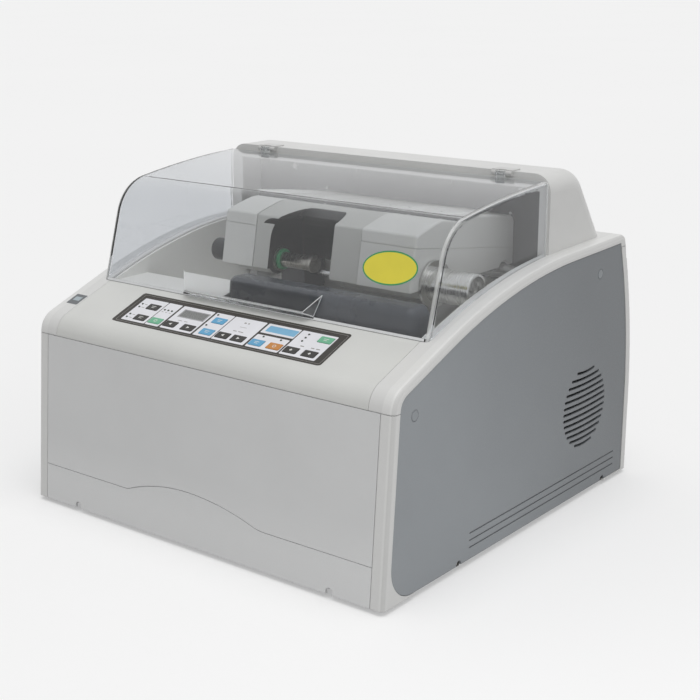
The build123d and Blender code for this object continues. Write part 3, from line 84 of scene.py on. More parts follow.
# ------------------------------------------------------------------ node materials
class Finish:
    """A node material round one Principled shader."""

    def __init__(self, name, color, rough, metal=0.0, **sockets):
        self.material = bpy.data.materials.new(name)
        self.material.use_nodes = True
        self.tree = self.material.node_tree
        self.tree.nodes.clear()
        self.output = self.tree.nodes.new("ShaderNodeOutputMaterial")
        self.shader = self.tree.nodes.new("ShaderNodeBsdfPrincipled")
        self.join(self.shader.outputs["BSDF"], self.output.inputs["Surface"])
        self.shader.inputs["Base Color"].default_value = (*color, 1)
        self.shader.inputs["Roughness"].default_value = rough
        self.shader.inputs["Metallic"].default_value = metal
        for socket, value in sockets.items():
            self.shader.inputs[socket.replace("_", " ")].default_value = value

    def join(self, source, target):
        self.tree.links.new(source, target)

    def feed(self, target, value):
        """Set an input, from a socket or to a plain value."""
        if isinstance(value, bpy.types.NodeSocket):
            self.join(value, target)
        elif isinstance(value, tuple) and len(value) == 3 and target.type == "RGBA":
            target.default_value = (*value, 1)
        else:
            target.default_value = value

    def node(self, kind, **settings):
        made = self.tree.nodes.new(kind)
        for key, value in settings.items():
            setattr(made, key, value)
        return made

    def place(self, stretch=(1, 1, 1), turn=(0, 0, 0)):
        """Object coordinates, stretched and turned."""
        source = self.node("ShaderNodeTexCoord")
        mapping = self.node("ShaderNodeMapping")
        self.join(source.outputs["Object"], mapping.inputs["Vector"])
        mapping.inputs["Scale"].default_value = stretch
        mapping.inputs["Rotation"].default_value = turn
        return mapping.outputs["Vector"]

    def noise(self, where, scale, detail=3.0, rough=0.55):
        made = self.node("ShaderNodeTexNoise")
        self.join(where, made.inputs["Vector"])
        made.inputs["Scale"].default_value = scale
        made.inputs["Detail"].default_value = detail
        made.inputs["Roughness"].default_value = rough
        return made.outputs["Fac"]

    def cells(self, where, scale):
        """Voronoi cells, with the outputs Distance and Color."""
        made = self.node("ShaderNodeTexVoronoi", feature="F1")
        self.join(where, made.inputs["Vector"])
        made.inputs["Scale"].default_value = scale
        return made.outputs

    def spread(self, value, low, high, to_low=0.0, to_high=1.0):
        made = self.node("ShaderNodeMapRange", clamp=True)
        self.feed(made.inputs["Value"], value)
        made.inputs["From Min"].default_value = low
        made.inputs["From Max"].default_value = high
        made.inputs["To Min"].default_value = to_low
        made.inputs["To Max"].default_value = to_high
        return made.outputs["Result"]

    def math(self, operation, a, b=0.0):
        made = self.node("ShaderNodeMath", operation=operation)
        self.feed(made.inputs[0], a)
        self.feed(made.inputs[1], b)
        return made.outputs["Value"]

    def blend(self, share, a, b):
        made = self.node("ShaderNodeMix", data_type="RGBA")
        self.feed(made.inputs["Factor"], share)
        self.feed(made.inputs["A"], a)
        self.feed(made.inputs["B"], b)
        return made.outputs["Result"]

    def bevel(self, radius):
        made = self.node("ShaderNodeBevel", samples=4)
        made.inputs["Radius"].default_value = radius
        return made.outputs["Normal"]

    def edges(self, soft):
        """1 on edges, 0 on flats, from how far the bevelled normal leans."""
        flat = self.node("ShaderNodeNewGeometry").outputs["Normal"]
        dot = self.node("ShaderNodeVectorMath", operation="DOT_PRODUCT")
        self.join(soft, dot.inputs[0])
        self.join(flat, dot.inputs[1])
        return self.spread(dot.outputs["Value"], 0.985, 0.80)

    def bump(self, height, strength, depth, normal=None):
        made = self.node("ShaderNodeBump")
        made.inputs["Strength"].default_value = strength
        made.inputs["Distance"].default_value = depth
        self.join(height, made.inputs["Height"])
        if normal is not None:
            self.join(normal, made.inputs["Normal"])
        return made.outputs["Normal"]

    def set(self, socket, value):
        self.feed(self.shader.inputs[socket], value)

    def parts(self, vector):
        made = self.node("ShaderNodeSeparateXYZ")
        self.join(vector, made.inputs["Vector"])
        return made.outputs

    def facing(self):
        """The parts of the surface's own normal."""
        return self.parts(self.node("ShaderNodeNewGeometry").outputs["True Normal"])

    def sideways(self):
        """How far the surface turns to the side, 0 to 1."""
        return self.math("ABSOLUTE", self.facing()["X"])

    def seen(self):
        """1 for rays that the picture shows, straight, mirrored or through the lid."""
        return seen_rays(self.tree)

    def trim_share(self):
        """1 on the outer trims of the casing."""
        across = self.math("ABSOLUTE", self.parts(self.place())["X"])
        return self.spread(across, TRIM_START, TRIM_START + 0.001)

    def trim_painted_shading(self, color):
        """Painted highlight and shade standing in for the bead, hollow and lip of the trim, told apart
        by how far each turns to the side.
        """
        ramp = self.node("ShaderNodeValToRGB")
        self.join(self.sideways(), ramp.inputs["Fac"])
        stops = ((0.0, 1.08), (0.30, 1.12), (0.50, 0.84), (0.90, 0.86), (0.985, 1.06))
        points = ramp.color_ramp.elements
        while len(points) < len(stops):
            points.new(0.5)
        for point, (position, factor) in zip(points, stops):
            point.position = position
            point.color = (*shade(color, factor), 1)
        return ramp.outputs["Color"]


def shade(color, factor):
    return tuple(min(1.0, c * factor) for c in color)


def seen_rays(tree):
    """1 for camera, glossy and transmission rays."""
    path = tree.nodes.new("ShaderNodeLightPath")
    share = path.outputs["Is Camera Ray"]
    for kind in ("Is Glossy Ray", "Is Transmission Ray"):
        either = tree.nodes.new("ShaderNodeMath")
        either.operation = "MAXIMUM"
        tree.links.new(share, either.inputs[0])
        tree.links.new(path.outputs[kind], either.inputs[1])
        share = either.outputs["Value"]
    return share


def moulded(name, color, rough=0.45, grain=0.0006, depth=0.00006, mottle=0.04, edge=0.0006,
            rub_and_sheen=0.25, dust=0.0, painted_low_light=None, trim=False, **sockets):
    """Moulded plastic: fine spark texture, faint mottling, softened edges that are rubbed paler, partly
    wear and partly a painted highlight.
    """
    f = Finish(name, color, rough, **sockets)
    where = f.place()
    cloud = f.noise(where, 9.0, 4.0)
    fine = f.noise(where, 1.0 / grain, 2.0)
    tone = f.blend(f.spread(cloud, 0.3, 0.7), shade(color, 1 - mottle), shade(color, 1 + mottle))
    # painted light: paler towards the floor, standing in for light thrown up from below
    if painted_low_light:
        tone = f.blend(f.spread(f.parts(where)["Z"], FRONT_LIGHT_START, FRONT_LIGHT_FULL), tone, painted_low_light)
    # painted shading: bead, hollow and lip tones set by how far each face turns sideways
    if trim:
        tone = f.blend(f.trim_share(), tone, f.trim_painted_shading(color))
    speck = f.spread(fine, 0.25, 0.75, 0.0, 0.5)
    tone = f.blend(speck, tone, shade(color, 1 - 0.8 * mottle))
    soft = f.bevel(edge)
    # edges rubbed paler: partly wear, partly a painted highlight
    edge_wear_and_sheen = f.edges(soft)
    scuff_and_sheen = f.math("MULTIPLY", edge_wear_and_sheen, f.spread(f.noise(where, 60.0, 4.0), 0.35, 0.7, 0.3, 1.0))
    tone = f.blend(f.math("MULTIPLY", scuff_and_sheen, rub_and_sheen), tone, shade(color, 1.25))
    if dust:
        tone = f.blend(f.spread(f.noise(where, 35.0, 5.0, 0.7), 0.45, 0.75, 0.0, dust), tone,
                       (0.42, 0.41, 0.39))
    f.set("Base Color", tone)
    f.set("Roughness", f.spread(f.noise(where, 28.0, 5.0, 0.6), 0.3, 0.7, rough - 0.05, rough + 0.07))
    f.set("Normal", f.bump(fine, 0.35, depth, soft))
    return f.material


def powder(name, color, rough=0.5, peel=0.0013, depth=0.00012, painted_rear_shade=0.0, edge_shade_and_highlight=(0.0005, 0.3, 1.8)):
    """Powder coat with orange-peel skin and flecks.

    Its edges are given a width, share and tone: below 1 painted shade along gaps and grooves, above 1 a
    painted highlight, partly wear. A painted shade darkens it towards the rear.
    """
    f = Finish(name, color, rough)
    where = f.place()
    skin = f.noise(where, 1.0 / peel, 3.0, 0.5)
    fleck = f.spread(f.noise(where, 2200.0, 1.0), 0.55, 0.75)
    tone = f.blend(f.spread(f.noise(where, 6.0, 3.0), 0.3, 0.7), shade(color, 0.96), shade(color, 1.05))
    # painted shade: darker towards the upper rear
    if painted_rear_shade:
        spot = f.parts(where)
        lean = f.math("ADD", spot["Y"], f.math("MULTIPLY", spot["Z"], 0.6))
        tone = f.blend(f.spread(lean, -0.05, 0.28, 0.0, painted_rear_shade), tone, shade(color, 0.5))
    tone = f.blend(f.math("MULTIPLY", fleck, 0.25), tone, shade(color, 1.5))
    # edges: painted shade along gaps and grooves below 1, a painted highlight, partly wear, above 1
    width, share, level = edge_shade_and_highlight
    soft = f.bevel(width)
    tone = f.blend(f.math("MULTIPLY", f.edges(soft), share), tone, shade(color, level))
    f.set("Base Color", tone)
    f.set("Roughness", f.spread(skin, 0.3, 0.7, rough - 0.06, rough + 0.06))
    f.set("Normal", f.bump(skin, 0.45, depth, soft))
    return f.material


def turned(name, color, rough=0.22, marks=0.14):
    """Turned or ground steel: fine rings round the X axis, slight stains, bright edges, partly a painted
    highlight.
    """
    f = Finish(name, color, rough, 1.0)
    rings = f.noise(f.place((1400, 26, 26)), 1.0, 3.0, 0.6)
    where = f.place()
    stain = f.noise(where, 45.0, 4.0, 0.6)
    tone = f.blend(f.spread(stain, 0.35, 0.7), shade(color, 1 + marks / 2), shade(color, 1 - marks))
    tone = f.blend(f.spread(rings, 0.3, 0.7, 0.0, 0.6), tone, shade(color, 1 - marks))
    soft = f.bevel(0.0005)
    # edges painted paler: partly wear, partly a painted highlight
    tone = f.blend(f.math("MULTIPLY", f.edges(soft), 0.5), tone, shade(color, 1.35))
    f.set("Base Color", tone)
    f.set("Roughness", f.spread(rings, 0.3, 0.7, rough - 0.05, rough + 0.12))
    f.set("Normal", f.bump(rings, 0.25, 0.00002, soft))
    return f.material


def cast(name, color, rough=0.55, metal=0.6, grain=0.0018):
    """Sand or die casting: pebbled skin, darker hollows, rubbed edges, partly a painted highlight."""
    f = Finish(name, color, rough, metal)
    where = f.place()
    skin = f.noise(where, 1.0 / grain, 4.0, 0.6)
    tone = f.blend(f.spread(skin, 0.3, 0.7), shade(color, 0.88), shade(color, 1.1))
    tone = f.blend(f.spread(f.noise(where, 12.0, 3.0), 0.4, 0.75, 0.0, 0.5), tone, shade(color, 0.8))
    soft = f.bevel(0.0012)
    # edges painted paler: partly wear, partly a painted highlight
    tone = f.blend(f.math("MULTIPLY", f.edges(soft), 0.35), tone, shade(color, 1.5))
    f.set("Base Color", tone)
    f.set("Roughness", f.spread(skin, 0.3, 0.7, rough - 0.1, rough + 0.1))
    f.set("Normal", f.bump(skin, 0.5, 0.0002, soft))
    return f.material


def rubber(name, color, rough=0.75):
    """Black rubber: fine pores and a grey bloom."""
    f = Finish(name, color, rough)
    where = f.place()
    bloom = f.noise(where, 30.0, 5.0, 0.65)
    pores = f.noise(where, 1200.0, 2.0)
    f.set("Base Color", f.blend(f.spread(bloom, 0.4, 0.75), color, shade(color, 2.4)))
    f.set("Roughness", f.spread(bloom, 0.3, 0.7, rough - 0.1, rough + 0.12))
    f.set("Normal", f.bump(pores, 0.4, 0.0001, f.bevel(0.0008)))
    return f.material


def sheet_steel(name, color, rough=0.4):
    """Zinc-plated sheet: spangle, brushed lightly along Y."""
    f = Finish(name, color, rough, 1.0)
    where = f.place()
    spangle = f.cells(where, 110.0)["Color"]
    brush = f.noise(f.place((900, 14, 900)), 1.0, 3.0)
    tone = f.blend(f.spread(spangle, 0.2, 0.8), shade(color, 0.9), shade(color, 1.08))
    tone = f.blend(f.spread(brush, 0.3, 0.7, 0.0, 0.4), tone, shade(color, 0.82))
    f.set("Base Color", tone)
    f.set("Roughness", f.spread(brush, 0.3, 0.7, rough - 0.08, rough + 0.12))
    f.set("Normal", f.bump(brush, 0.2, 0.00003, f.bevel(0.0005)))
    return f.material


def grit(name, color, size=0.0005):
    """Diamond grit in a metal bond: sparkling grains in a dull matrix."""
    f = Finish(name, color, 0.5, 0.7)
    where = f.place()
    grains = f.cells(where, 1.0 / size)["Distance"]
    spark = f.spread(grains, 0.35, 0.1)
    tone = f.blend(f.spread(f.noise(where, 200.0, 3.0), 0.3, 0.7), shade(color, 0.7), shade(color, 1.1))
    f.set("Base Color", f.blend(f.math("MULTIPLY", spark, 0.7), tone, shade(color, 1.9)))
    f.set("Roughness", f.spread(spark, 0.0, 1.0, 0.6, 0.25))
    f.set("Normal", f.bump(grains, 0.9, size * 0.5, f.bevel(0.0008)))
    return f.material


def board(name, color):
    """Circuit board: copper runs under green solder mask."""
    f = Finish(name, color, 0.35)
    where = f.place()
    runs = f.node("ShaderNodeTexBrick")
    f.join(where, runs.inputs["Vector"])
    runs.inputs["Scale"].default_value = 160.0
    runs.inputs["Mortar Size"].default_value = 0.06
    runs.inputs["Color1"].default_value = (0, 0, 0, 1)
    runs.inputs["Color2"].default_value = (0.35, 0.35, 0.35, 1)
    runs.inputs["Mortar"].default_value = (1, 1, 1, 1)
    tone = f.blend(runs.outputs["Color"], color, shade(color, 1.7))
    f.set("Base Color", f.blend(f.spread(f.noise(where, 60.0), 0.3, 0.7, 0.0, 0.3), tone,
                                shade(color, 0.6)))
    f.set("Roughness", f.spread(runs.outputs["Fac"], 0.0, 1.0, 0.3, 0.42))
    f.set("Normal", f.bump(runs.outputs["Fac"], 0.3, 0.00005, f.bevel(0.0003)))
    return f.material


def clear_lid(name, tint, rough=0.02):
    """Clear acrylic: refracts, shows faint haze and hairlines, and lets light and shadow rays in."""
    f = Finish(name, tint, rough, Transmission_Weight=1.0, IOR=1.47, Specular_IOR_Level=0.35)
    where = f.place()
    hair = f.noise(f.place((40, 900, 700), (0.3, 0.1, 0.4)), 1.0, 2.0)
    haze = f.noise(where, 14.0, 4.0, 0.6)
    f.set("Roughness", f.spread(f.math("MULTIPLY", haze, hair), 0.2, 0.45, rough * 0.6, rough * 2.6))
    f.set("Base Color", f.blend(f.spread(haze, 0.3, 0.7), shade(tint, 0.985), shade(tint, 1.01)))
    f.set("Normal", f.bump(f.noise(where, 22.0, 1.0), 0.12, 0.0004, f.bevel(0.0006)))
    f.join(clear_inside(f), f.output.inputs["Surface"])
    return f.material


def mixed(f, share, first, second):
    """One shader, or the other where share is 1."""
    pick = f.node("ShaderNodeMixShader")
    f.join(share, pick.inputs["Fac"])
    f.join(first, pick.inputs[1])
    f.join(second, pick.inputs[2])
    return pick.outputs["Shader"]


def clear_inside(f):
    """Open to shadow and diffuse rays, and a pale diffuse where the lid's edges catch light: a painted
    highlight on the side edges and foot, and a frosted sawn edge at the rear.
    """
    path = f.node("ShaderNodeLightPath")
    open_ray = f.math("MAXIMUM", path.outputs["Is Shadow Ray"], path.outputs["Is Diffuse Ray"])
    through = f.node("ShaderNodeBsdfTransparent")
    through.inputs["Color"].default_value = (0.95, 0.955, 0.965, 1)
    clear = mixed(f, open_ray, f.shader.outputs["BSDF"], through.outputs["BSDF"])
    spot = f.parts(f.place())
    # painted highlight: pale diffuse on the side edges and under the foot; the sawn rear edge is frosted
    flat = f.spread(f.sideways(), 0.8, 0.6)
    across = f.math("ABSOLUTE", spot["X"])
    side_highlight = f.math("MULTIPLY", f.spread(across, LID_RIM, LID_RIM + 0.0012, 0.0, 0.5), flat)
    low = f.spread(spot["Z"], LID_FOOT, LID_FOOT - 0.004, 0.0, 0.7)
    foot = f.math("MULTIPLY", f.spread(f.facing()["Z"], -0.5, -0.7), low)
    sawn = f.spread(spot["Y"], LID_SAWN, LID_SAWN + 0.0004, 0.0, 0.75)
    frosted = f.node("ShaderNodeBsdfDiffuse")
    frosted.inputs["Color"].default_value = (0.80, 0.81, 0.80, 1)
    edge = f.math("MAXIMUM", sawn, f.math("MAXIMUM", side_highlight, foot))
    return mixed(f, edge, clear, frosted.outputs["BSDF"])


def film(name, color, rough=0.35, grain=0.0004, **sockets):
    """Satin printed film: very fine texture, slight fading."""
    f = Finish(name, color, rough, **sockets)
    where = f.place()
    fine = f.noise(where, 1.0 / grain, 1.0)
    fade = f.noise(where, 40.0, 3.0)
    f.set("Base Color", f.blend(f.spread(fade, 0.3, 0.7), shade(color, 0.97), shade(color, 1.03)))
    f.set("Roughness", f.spread(fine, 0.3, 0.7, rough - 0.05, rough + 0.08))
    f.set("Normal", f.bump(fine, 0.25, 0.00003))
    return f.material


def painted_casting(name, paint, metal):
    """Head casting: warm grey paint outside, dark unpainted metal in the mouth of the arch, its darkness
    partly painted shade under the arch.
    """
    f = Finish(name, paint, 0.45)
    where = f.place()
    spot, normal = f.parts(where), f.facing()
    left = f.spread(spot["X"], ARCH_LEFT, ARCH_LEFT + 0.0006)
    right = f.spread(spot["X"], ARCH_RIGHT, ARCH_RIGHT - 0.0006)
    low = f.spread(spot["Z"], ARCH_ROOF, ARCH_ROOF - 0.0015)
    shallow = f.spread(spot["Y"], ARCH_DEEP, ARCH_DEEP - 0.001)
    behind_lip = f.spread(spot["Y"], ARCH_LIP, ARCH_LIP + 0.002)
    inner = f.math("MAXIMUM", f.spread(normal["Y"], -0.70, -0.60), behind_lip)
    not_top = f.spread(normal["Z"], 0.70, 0.55)
    within = f.math("MULTIPLY", f.math("MULTIPLY", left, right), f.math("MULTIPLY", low, shallow))
    # the mouth of the arch: dark unpainted metal, its darkness partly painted shade under the arch
    bare_and_shaded = f.math("MULTIPLY", within, f.math("MULTIPLY", not_top, inner))
    skin = f.noise(where, 900.0, 3.0)
    tone = f.blend(f.spread(f.noise(where, 10.0, 3.0), 0.3, 0.7), shade(paint, 0.95), shade(paint, 1.05))
    tone = f.blend(f.spread(skin, 0.3, 0.7, 0.0, 0.4), tone, shade(paint, 0.92))
    mill = f.noise(f.place((20, 500, 900)), 1.0, 3.0)
    steel = f.blend(f.spread(mill, 0.3, 0.7), shade(metal, 0.75), shade(metal, 1.1))
    soft = f.bevel(0.001)
    # edges painted paler: partly wear, partly a painted highlight
    tone = f.blend(f.math("MULTIPLY", f.edges(soft), 0.25), tone, shade(paint, 1.35))
    f.set("Base Color", f.blend(bare_and_shaded, tone, steel))
    f.set("Metallic", bare_and_shaded)
    f.set("Roughness", f.spread(bare_and_shaded, 0.0, 1.0, 0.45, 0.3))
    f.set("Normal", f.bump(skin, 0.3, 0.00008, soft))
    return f.material


WHITE = (0.69, 0.69, 0.68)
MATERIALS = {
    # casing_white carries painted shading on its trims, and edges rubbed paler, partly a painted
    # highlight
    "casing_white": moulded("casing_white", WHITE, 0.38, rub_and_sheen=0.1, edge=0.0008, trim=True),
    "deck_grey": moulded("deck_grey", (0.66, 0.665, 0.645), 0.42),
    # front_grey is painted paler near the floor, painted light
    "front_grey": moulded("front_grey", (0.70, 0.705, 0.705), 0.45, mottle=0.03,
                          painted_low_light=(0.77, 0.775, 0.775)),
    # side_grey: painted shade towards the upper rear and along its edges, gaps and vents
    "side_grey": powder("side_grey", (0.292, 0.311, 0.329), 0.45, painted_rear_shade=0.66, edge_shade_and_highlight=(0.0011, 0.85, 0.15)),
    # cap_grey: painted shade along its edges
    "cap_grey": powder("cap_grey", (0.275, 0.293, 0.310), 0.45, edge_shade_and_highlight=(0.0008, 0.85, 0.2)),
    "tray_steel": sheet_steel("tray_steel", (0.55, 0.56, 0.57)),
    "foot_rubber": rubber("foot_rubber", (0.03, 0.03, 0.03)),
    "bulkhead_dark": powder("bulkhead_dark", (0.085, 0.087, 0.09), 0.4),
    "tub_beige": moulded("tub_beige", (0.86, 0.855, 0.82), 0.35, mottle=0.03, dust=0.03),
    "guard_blue": moulded("guard_blue", (0.040, 0.047, 0.058), 0.28, mottle=0.12, dust=0.06,
                          Coat_Weight=0.15, Coat_Roughness=0.2),
    "overlay_film": film("overlay_film", (0.046, 0.042, 0.037), 0.42, Specular_IOR_Level=0.3),
    "board_green": board("board_green", (0.04, 0.18, 0.08)),
    "display_grey": film("display_grey", (0.19, 0.195, 0.19), 0.25),
    "motor_black": powder("motor_black", (0.05, 0.05, 0.055), 0.4),
    "cast_grey": cast("cast_grey", (0.42, 0.42, 0.42)),
    "bearing_steel": turned("bearing_steel", (0.60, 0.60, 0.60), 0.18),
    "ground_steel": turned("ground_steel", (0.62, 0.62, 0.62), 0.16, marks=0.1),
    "hinge_steel": moulded("hinge_steel", (0.60, 0.60, 0.59), 0.35, edge=0.0003),
    "belt_rubber": rubber("belt_rubber", (0.02, 0.02, 0.02)),
    "lid_clear": clear_lid("lid_clear", (0.80, 0.815, 0.835)),
    # head_grey: its dark metal colour is partly painted shade in the mouth of the arch
    "head_grey": painted_casting("head_grey", (0.52, 0.52, 0.49), (0.09, 0.09, 0.09)),
    "head_cover": moulded("head_cover", (0.68, 0.68, 0.65), 0.42),
    "chuck_brass": turned("chuck_brass", (0.42, 0.40, 0.36), 0.22),
    "knob_steel": turned("knob_steel", (0.66, 0.655, 0.63), 0.2, marks=0.16),
    "fitting_black": moulded("fitting_black", (0.025, 0.025, 0.026), 0.4, mottle=0.1),
    "wheel_diamond": grit("wheel_diamond", (0.34, 0.32, 0.28), 0.0006),
    "wheel_bond": grit("wheel_bond", (0.44, 0.40, 0.32), 0.0003),
    "pulley_alloy": turned("pulley_alloy", (0.60, 0.60, 0.60), 0.28),
    "key_dark": moulded("key_dark", (0.045, 0.043, 0.040), 0.42, grain=0.0004, edge=0.0003,
                        Specular_IOR_Level=0.3),
    "key_green": moulded("key_green", (0.155, 0.46, 0.28), 0.38, grain=0.0004, edge=0.0003),
    "key_blue": moulded("key_blue", (0.115, 0.38, 0.62), 0.38, grain=0.0004, edge=0.0003),
    "key_orange": moulded("key_orange", (0.58, 0.235, 0.045), 0.38, grain=0.0004, edge=0.0003),
}
for node_name, node_object in NODES.items():
    paint = MATERIALS[SLOTS[node_name]]
    if not node_object.material_slots:
        node_object.data.materials.append(paint)
    for holder in node_object.material_slots:
        holder.link = "OBJECT"
        holder.material = paint

CELL_FILM = film("print_white", (0.80, 0.80, 0.835), 0.38)
MARK_WHITE = film("print_pale", (0.72, 0.72, 0.70), 0.4)
LINE_INK = film("print_line", (0.30, 0.29, 0.27), 0.4)
LABEL_YELLOW = film("label_yellow", (0.80, 0.70, 0.06), 0.3)
LABEL_GREEN = film("label_green", (0.03, 0.30, 0.11), 0.3)
RING_GREEN = moulded("ring_green", (0.03, 0.42, 0.16), 0.3, edge=0.0003)
LAMP_DARK = moulded("lamp_dark", (0.05, 0.045, 0.04), 0.12, grain=0.001, edge=0.0002)
SCREW_STEEL = turned("screw_steel", (0.56, 0.56, 0.56), 0.3)
# pale screw heads, their pale colour partly a painted glint
SCREW_WHITE_GLINT = moulded("screw_white_glint", (0.78, 0.78, 0.77), 0.35, edge=0.0003)
PLATE_GREY = film("plate_grey", (0.50, 0.50, 0.49), 0.35)


# ------------------------------------------------------------------ mesh helpers
def finish_piece(name, mesh, material, body, matrix=None, smooth=True):
    """Give a mesh its finish, its place and the body it rides on."""
    piece = bpy.data.objects.new(name, mesh)
    bpy.context.scene.collection.objects.link(piece)
    piece.data.materials.append(material)
    if matrix is not None:
        piece.matrix_world = matrix
    if smooth:
        for face in mesh.polygons:
            face.use_smooth = True
    bpy.context.view_layer.update()
    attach(piece, body)


def circle(bm, r, z, steps, place=Matrix()):
    """Vertices in a circle round Z, sizes in mm, or one vertex where the radius is 0."""
    if r < 1e-6:
        return [bm.verts.new(place @ Vector((0, 0, z * MM)))]
    turns = [2 * pi * i / steps for i in range(steps)]
    return [bm.verts.new(place @ Vector((r * MM * cos(a), r * MM * sin(a), z * MM))) for a in turns]


def bridge(bm, rings):
    """Faces between each ring of vertices and the next."""
    for low, high in zip(rings, rings[1:]):
        steps = max(len(low), len(high))
        for i in range(steps):
            j = (i + 1) % steps
            corners = (low[i % len(low)], low[j % len(low)], high[j % len(high)], high[i % len(high)])
            bm.faces.new(list(dict.fromkeys(corners)))


def shell(name, bm):
    """The mesh of a finished bmesh, with its faces turned outwards."""
    bmesh.ops.recalc_face_normals(bm, faces=bm.faces)
    mesh = bpy.data.meshes.new(name)
    bm.to_mesh(mesh)
    bm.free()
    return mesh


def rounded(cx, cy, half_w, half_h, r, steps=6):
    """Corner points of a rounded rectangle."""
    points = []
    for sx, sy, start in ((1, 1, 0), (-1, 1, 90), (-1, -1, 180), (1, -1, 270)):
        for i in range(steps + 1):
            angle = radians(start + 90 * i / steps)
            points.append((cx + sx * (half_w - r) + r * cos(angle),
                           cy + sy * (half_h - r) + r * sin(angle)))
    return points


def ellipse(cx, cy, a, b, steps=64, turn=0.0):
    """Points of an ellipse, turned by an angle."""
    points = []
    for i in range(steps):
        u = a * cos(2 * pi * i / steps)
        v = b * sin(2 * pi * i / steps)
        points.append((cx + u * cos(turn) - v * sin(turn), cy + u * sin(turn) + v * cos(turn)))
    return points


def printed(name, loops, height, thick, matrix, material, body):
    """Flat shapes, with holes where loops lie inside loops, as one thin mesh. Sizes in mm."""
    curve = bpy.data.curves.new(name + "_outline", "CURVE")
    curve.dimensions = "2D"
    curve.fill_mode = "BOTH"
    curve.extrude = thick * MM / 2
    for loop in loops:
        spline = curve.splines.new("POLY")
        spline.points.add(len(loop) - 1)
        for point, (u, v) in zip(spline.points, loop):
            point.co = (u * MM, v * MM, 0, 1)
        spline.use_cyclic_u = True
    temporary = bpy.data.objects.new(name + "_outline", curve)
    bpy.context.scene.collection.objects.link(temporary)
    bpy.context.view_layer.update()
    mesh = bpy.data.meshes.new_from_object(temporary.evaluated_get(
        bpy.context.evaluated_depsgraph_get()))
    bpy.data.objects.remove(temporary)
    bpy.data.curves.remove(curve)
    mesh.name = name
    lift = Matrix.Translation((0, 0, (height + thick / 2) * MM))
    finish_piece(name, mesh, material, body, matrix @ lift, smooth=False)


def lathe(name, profile, matrix, material, body, steps):
    """Revolve (radius, height) points in mm round the local Z axis."""
    bm = bmesh.new()
    bridge(bm, [circle(bm, r, z, steps) for r, z in profile])
    finish_piece(name, shell(name, bm), material, body, matrix)


def tube(name, points, r, material, body, steps=10):
    """A thin round bead along straight lines between points, with eased ends."""
    bm = bmesh.new()
    for start, end in zip(points, points[1:]):
        along = end - start
        turn = along.to_track_quat("Z", "Y").to_matrix().to_4x4()
        rings = [circle(bm, size * r, 0, steps, Matrix.Translation(start + along * t) @ turn)
                 for t, size in ((0.0, 0.6), (0.04, 1.0), (0.96, 1.0), (1.0, 0.6))]
        bridge(bm, rings)
        bm.faces.new(rings[0])
        bm.faces.new(rings[-1])
    finish_piece(name, shell(name, bm), material, body)


def touch(node, start, direction):
    """Where a straight line first meets a CAD node, and the surface normal there."""
    solid = NODES[node]
    back = solid.matrix_world.inverted()
    _, point, normal, _ = solid.ray_cast(back @ start, back.to_3x3() @ Vector(direction))
    return solid.matrix_world @ point, (solid.matrix_world.to_3x3() @ normal).normalized()


def screw_head(name, point, direction, material, r, rise, body="root"):
    """Crowned screw head with a cross recess, on a point and facing a direction."""
    steps = 40
    bm = bmesh.new()
    crown = ((1.0, 0.0), (1.0, 0.35), (0.93, 0.72), (0.72, 0.93), (0.5, 1.0))
    rings = [circle(bm, share * r, height * rise, steps) for share, height in crown]
    recess = []
    for i in range(steps):
        angle = 2 * pi * i / steps
        reach = (0.13 + 0.34 * abs(cos(2 * angle)) ** 3) * r * MM
        recess.append(Vector((reach * cos(angle), reach * sin(angle), rise * MM)))
    rings.append([bm.verts.new(edge) for edge in recess])
    rings.append([bm.verts.new((edge.x * 0.8, edge.y * 0.8, rise * 0.35 * MM)) for edge in recess])
    bridge(bm, rings)
    bm.faces.new(rings[-1])
    turn = Vector(direction).to_track_quat("Z", "Y").to_matrix().to_4x4()
    place = Matrix.Translation(point) @ turn
    finish_piece(name, shell(name, bm), material, body, place, smooth=False)


# ------------------------------------------------------------------ keypad
KEYS = {
    "key_lens_type": (-118.0, 7.3), "key_frame_type": (-118.0, -14.0),
    "key_start": (-95.0, -14.0), "key_size_down": (-72.5, -14.0), "key_size_up": (-46.5, -14.0),
    "key_bevel": (-18.8, 7.3), "key_polish": (-18.8, -14.0),
    "key_shift_left": (4.0, -14.0), "key_shift_right": (25.5, -14.0),
    "key_rinse": (51.0, -14.0), "key_stop": (75.0, -14.0),
    "key_clamp": (123.0, 11.8), "key_pressure_down": (97.0, -14.0),
    "key_pressure_up": (121.0, -14.0),
}
LAMPS = (
    (-137.0, 9.4), (-137.0, 3.6), (-137.0, -11.3), (-137.0, -17.1),
    (-100.2, 7.0), (-94.8, 7.0), (-89.4, 7.0),
    (-28.6, 16.6), (-28.6, -3.4),
    (51.5, -2.6), (75.0, -2.6),
    (98.4, 15.2), (98.4, 9.2), (98.4, 3.2),
)
# heights above the deck and sizes across it, in mm
FILM_TOP = 0.3
FIELD_THICK = 0.06
PRINT_TOP = FILM_TOP + FIELD_THICK
KEY_TOP = 0.9
KEY_HOLE = (8.9, 5.4, 1.6)  # half width, half height and corner of the clear space round a key
LAMP_HOLE = 1.3
DISPLAY = (-56.5, 7.6)      # the middle of the display
DISPLAY_HALF = (19.2, 7.2)  # its half width and half height
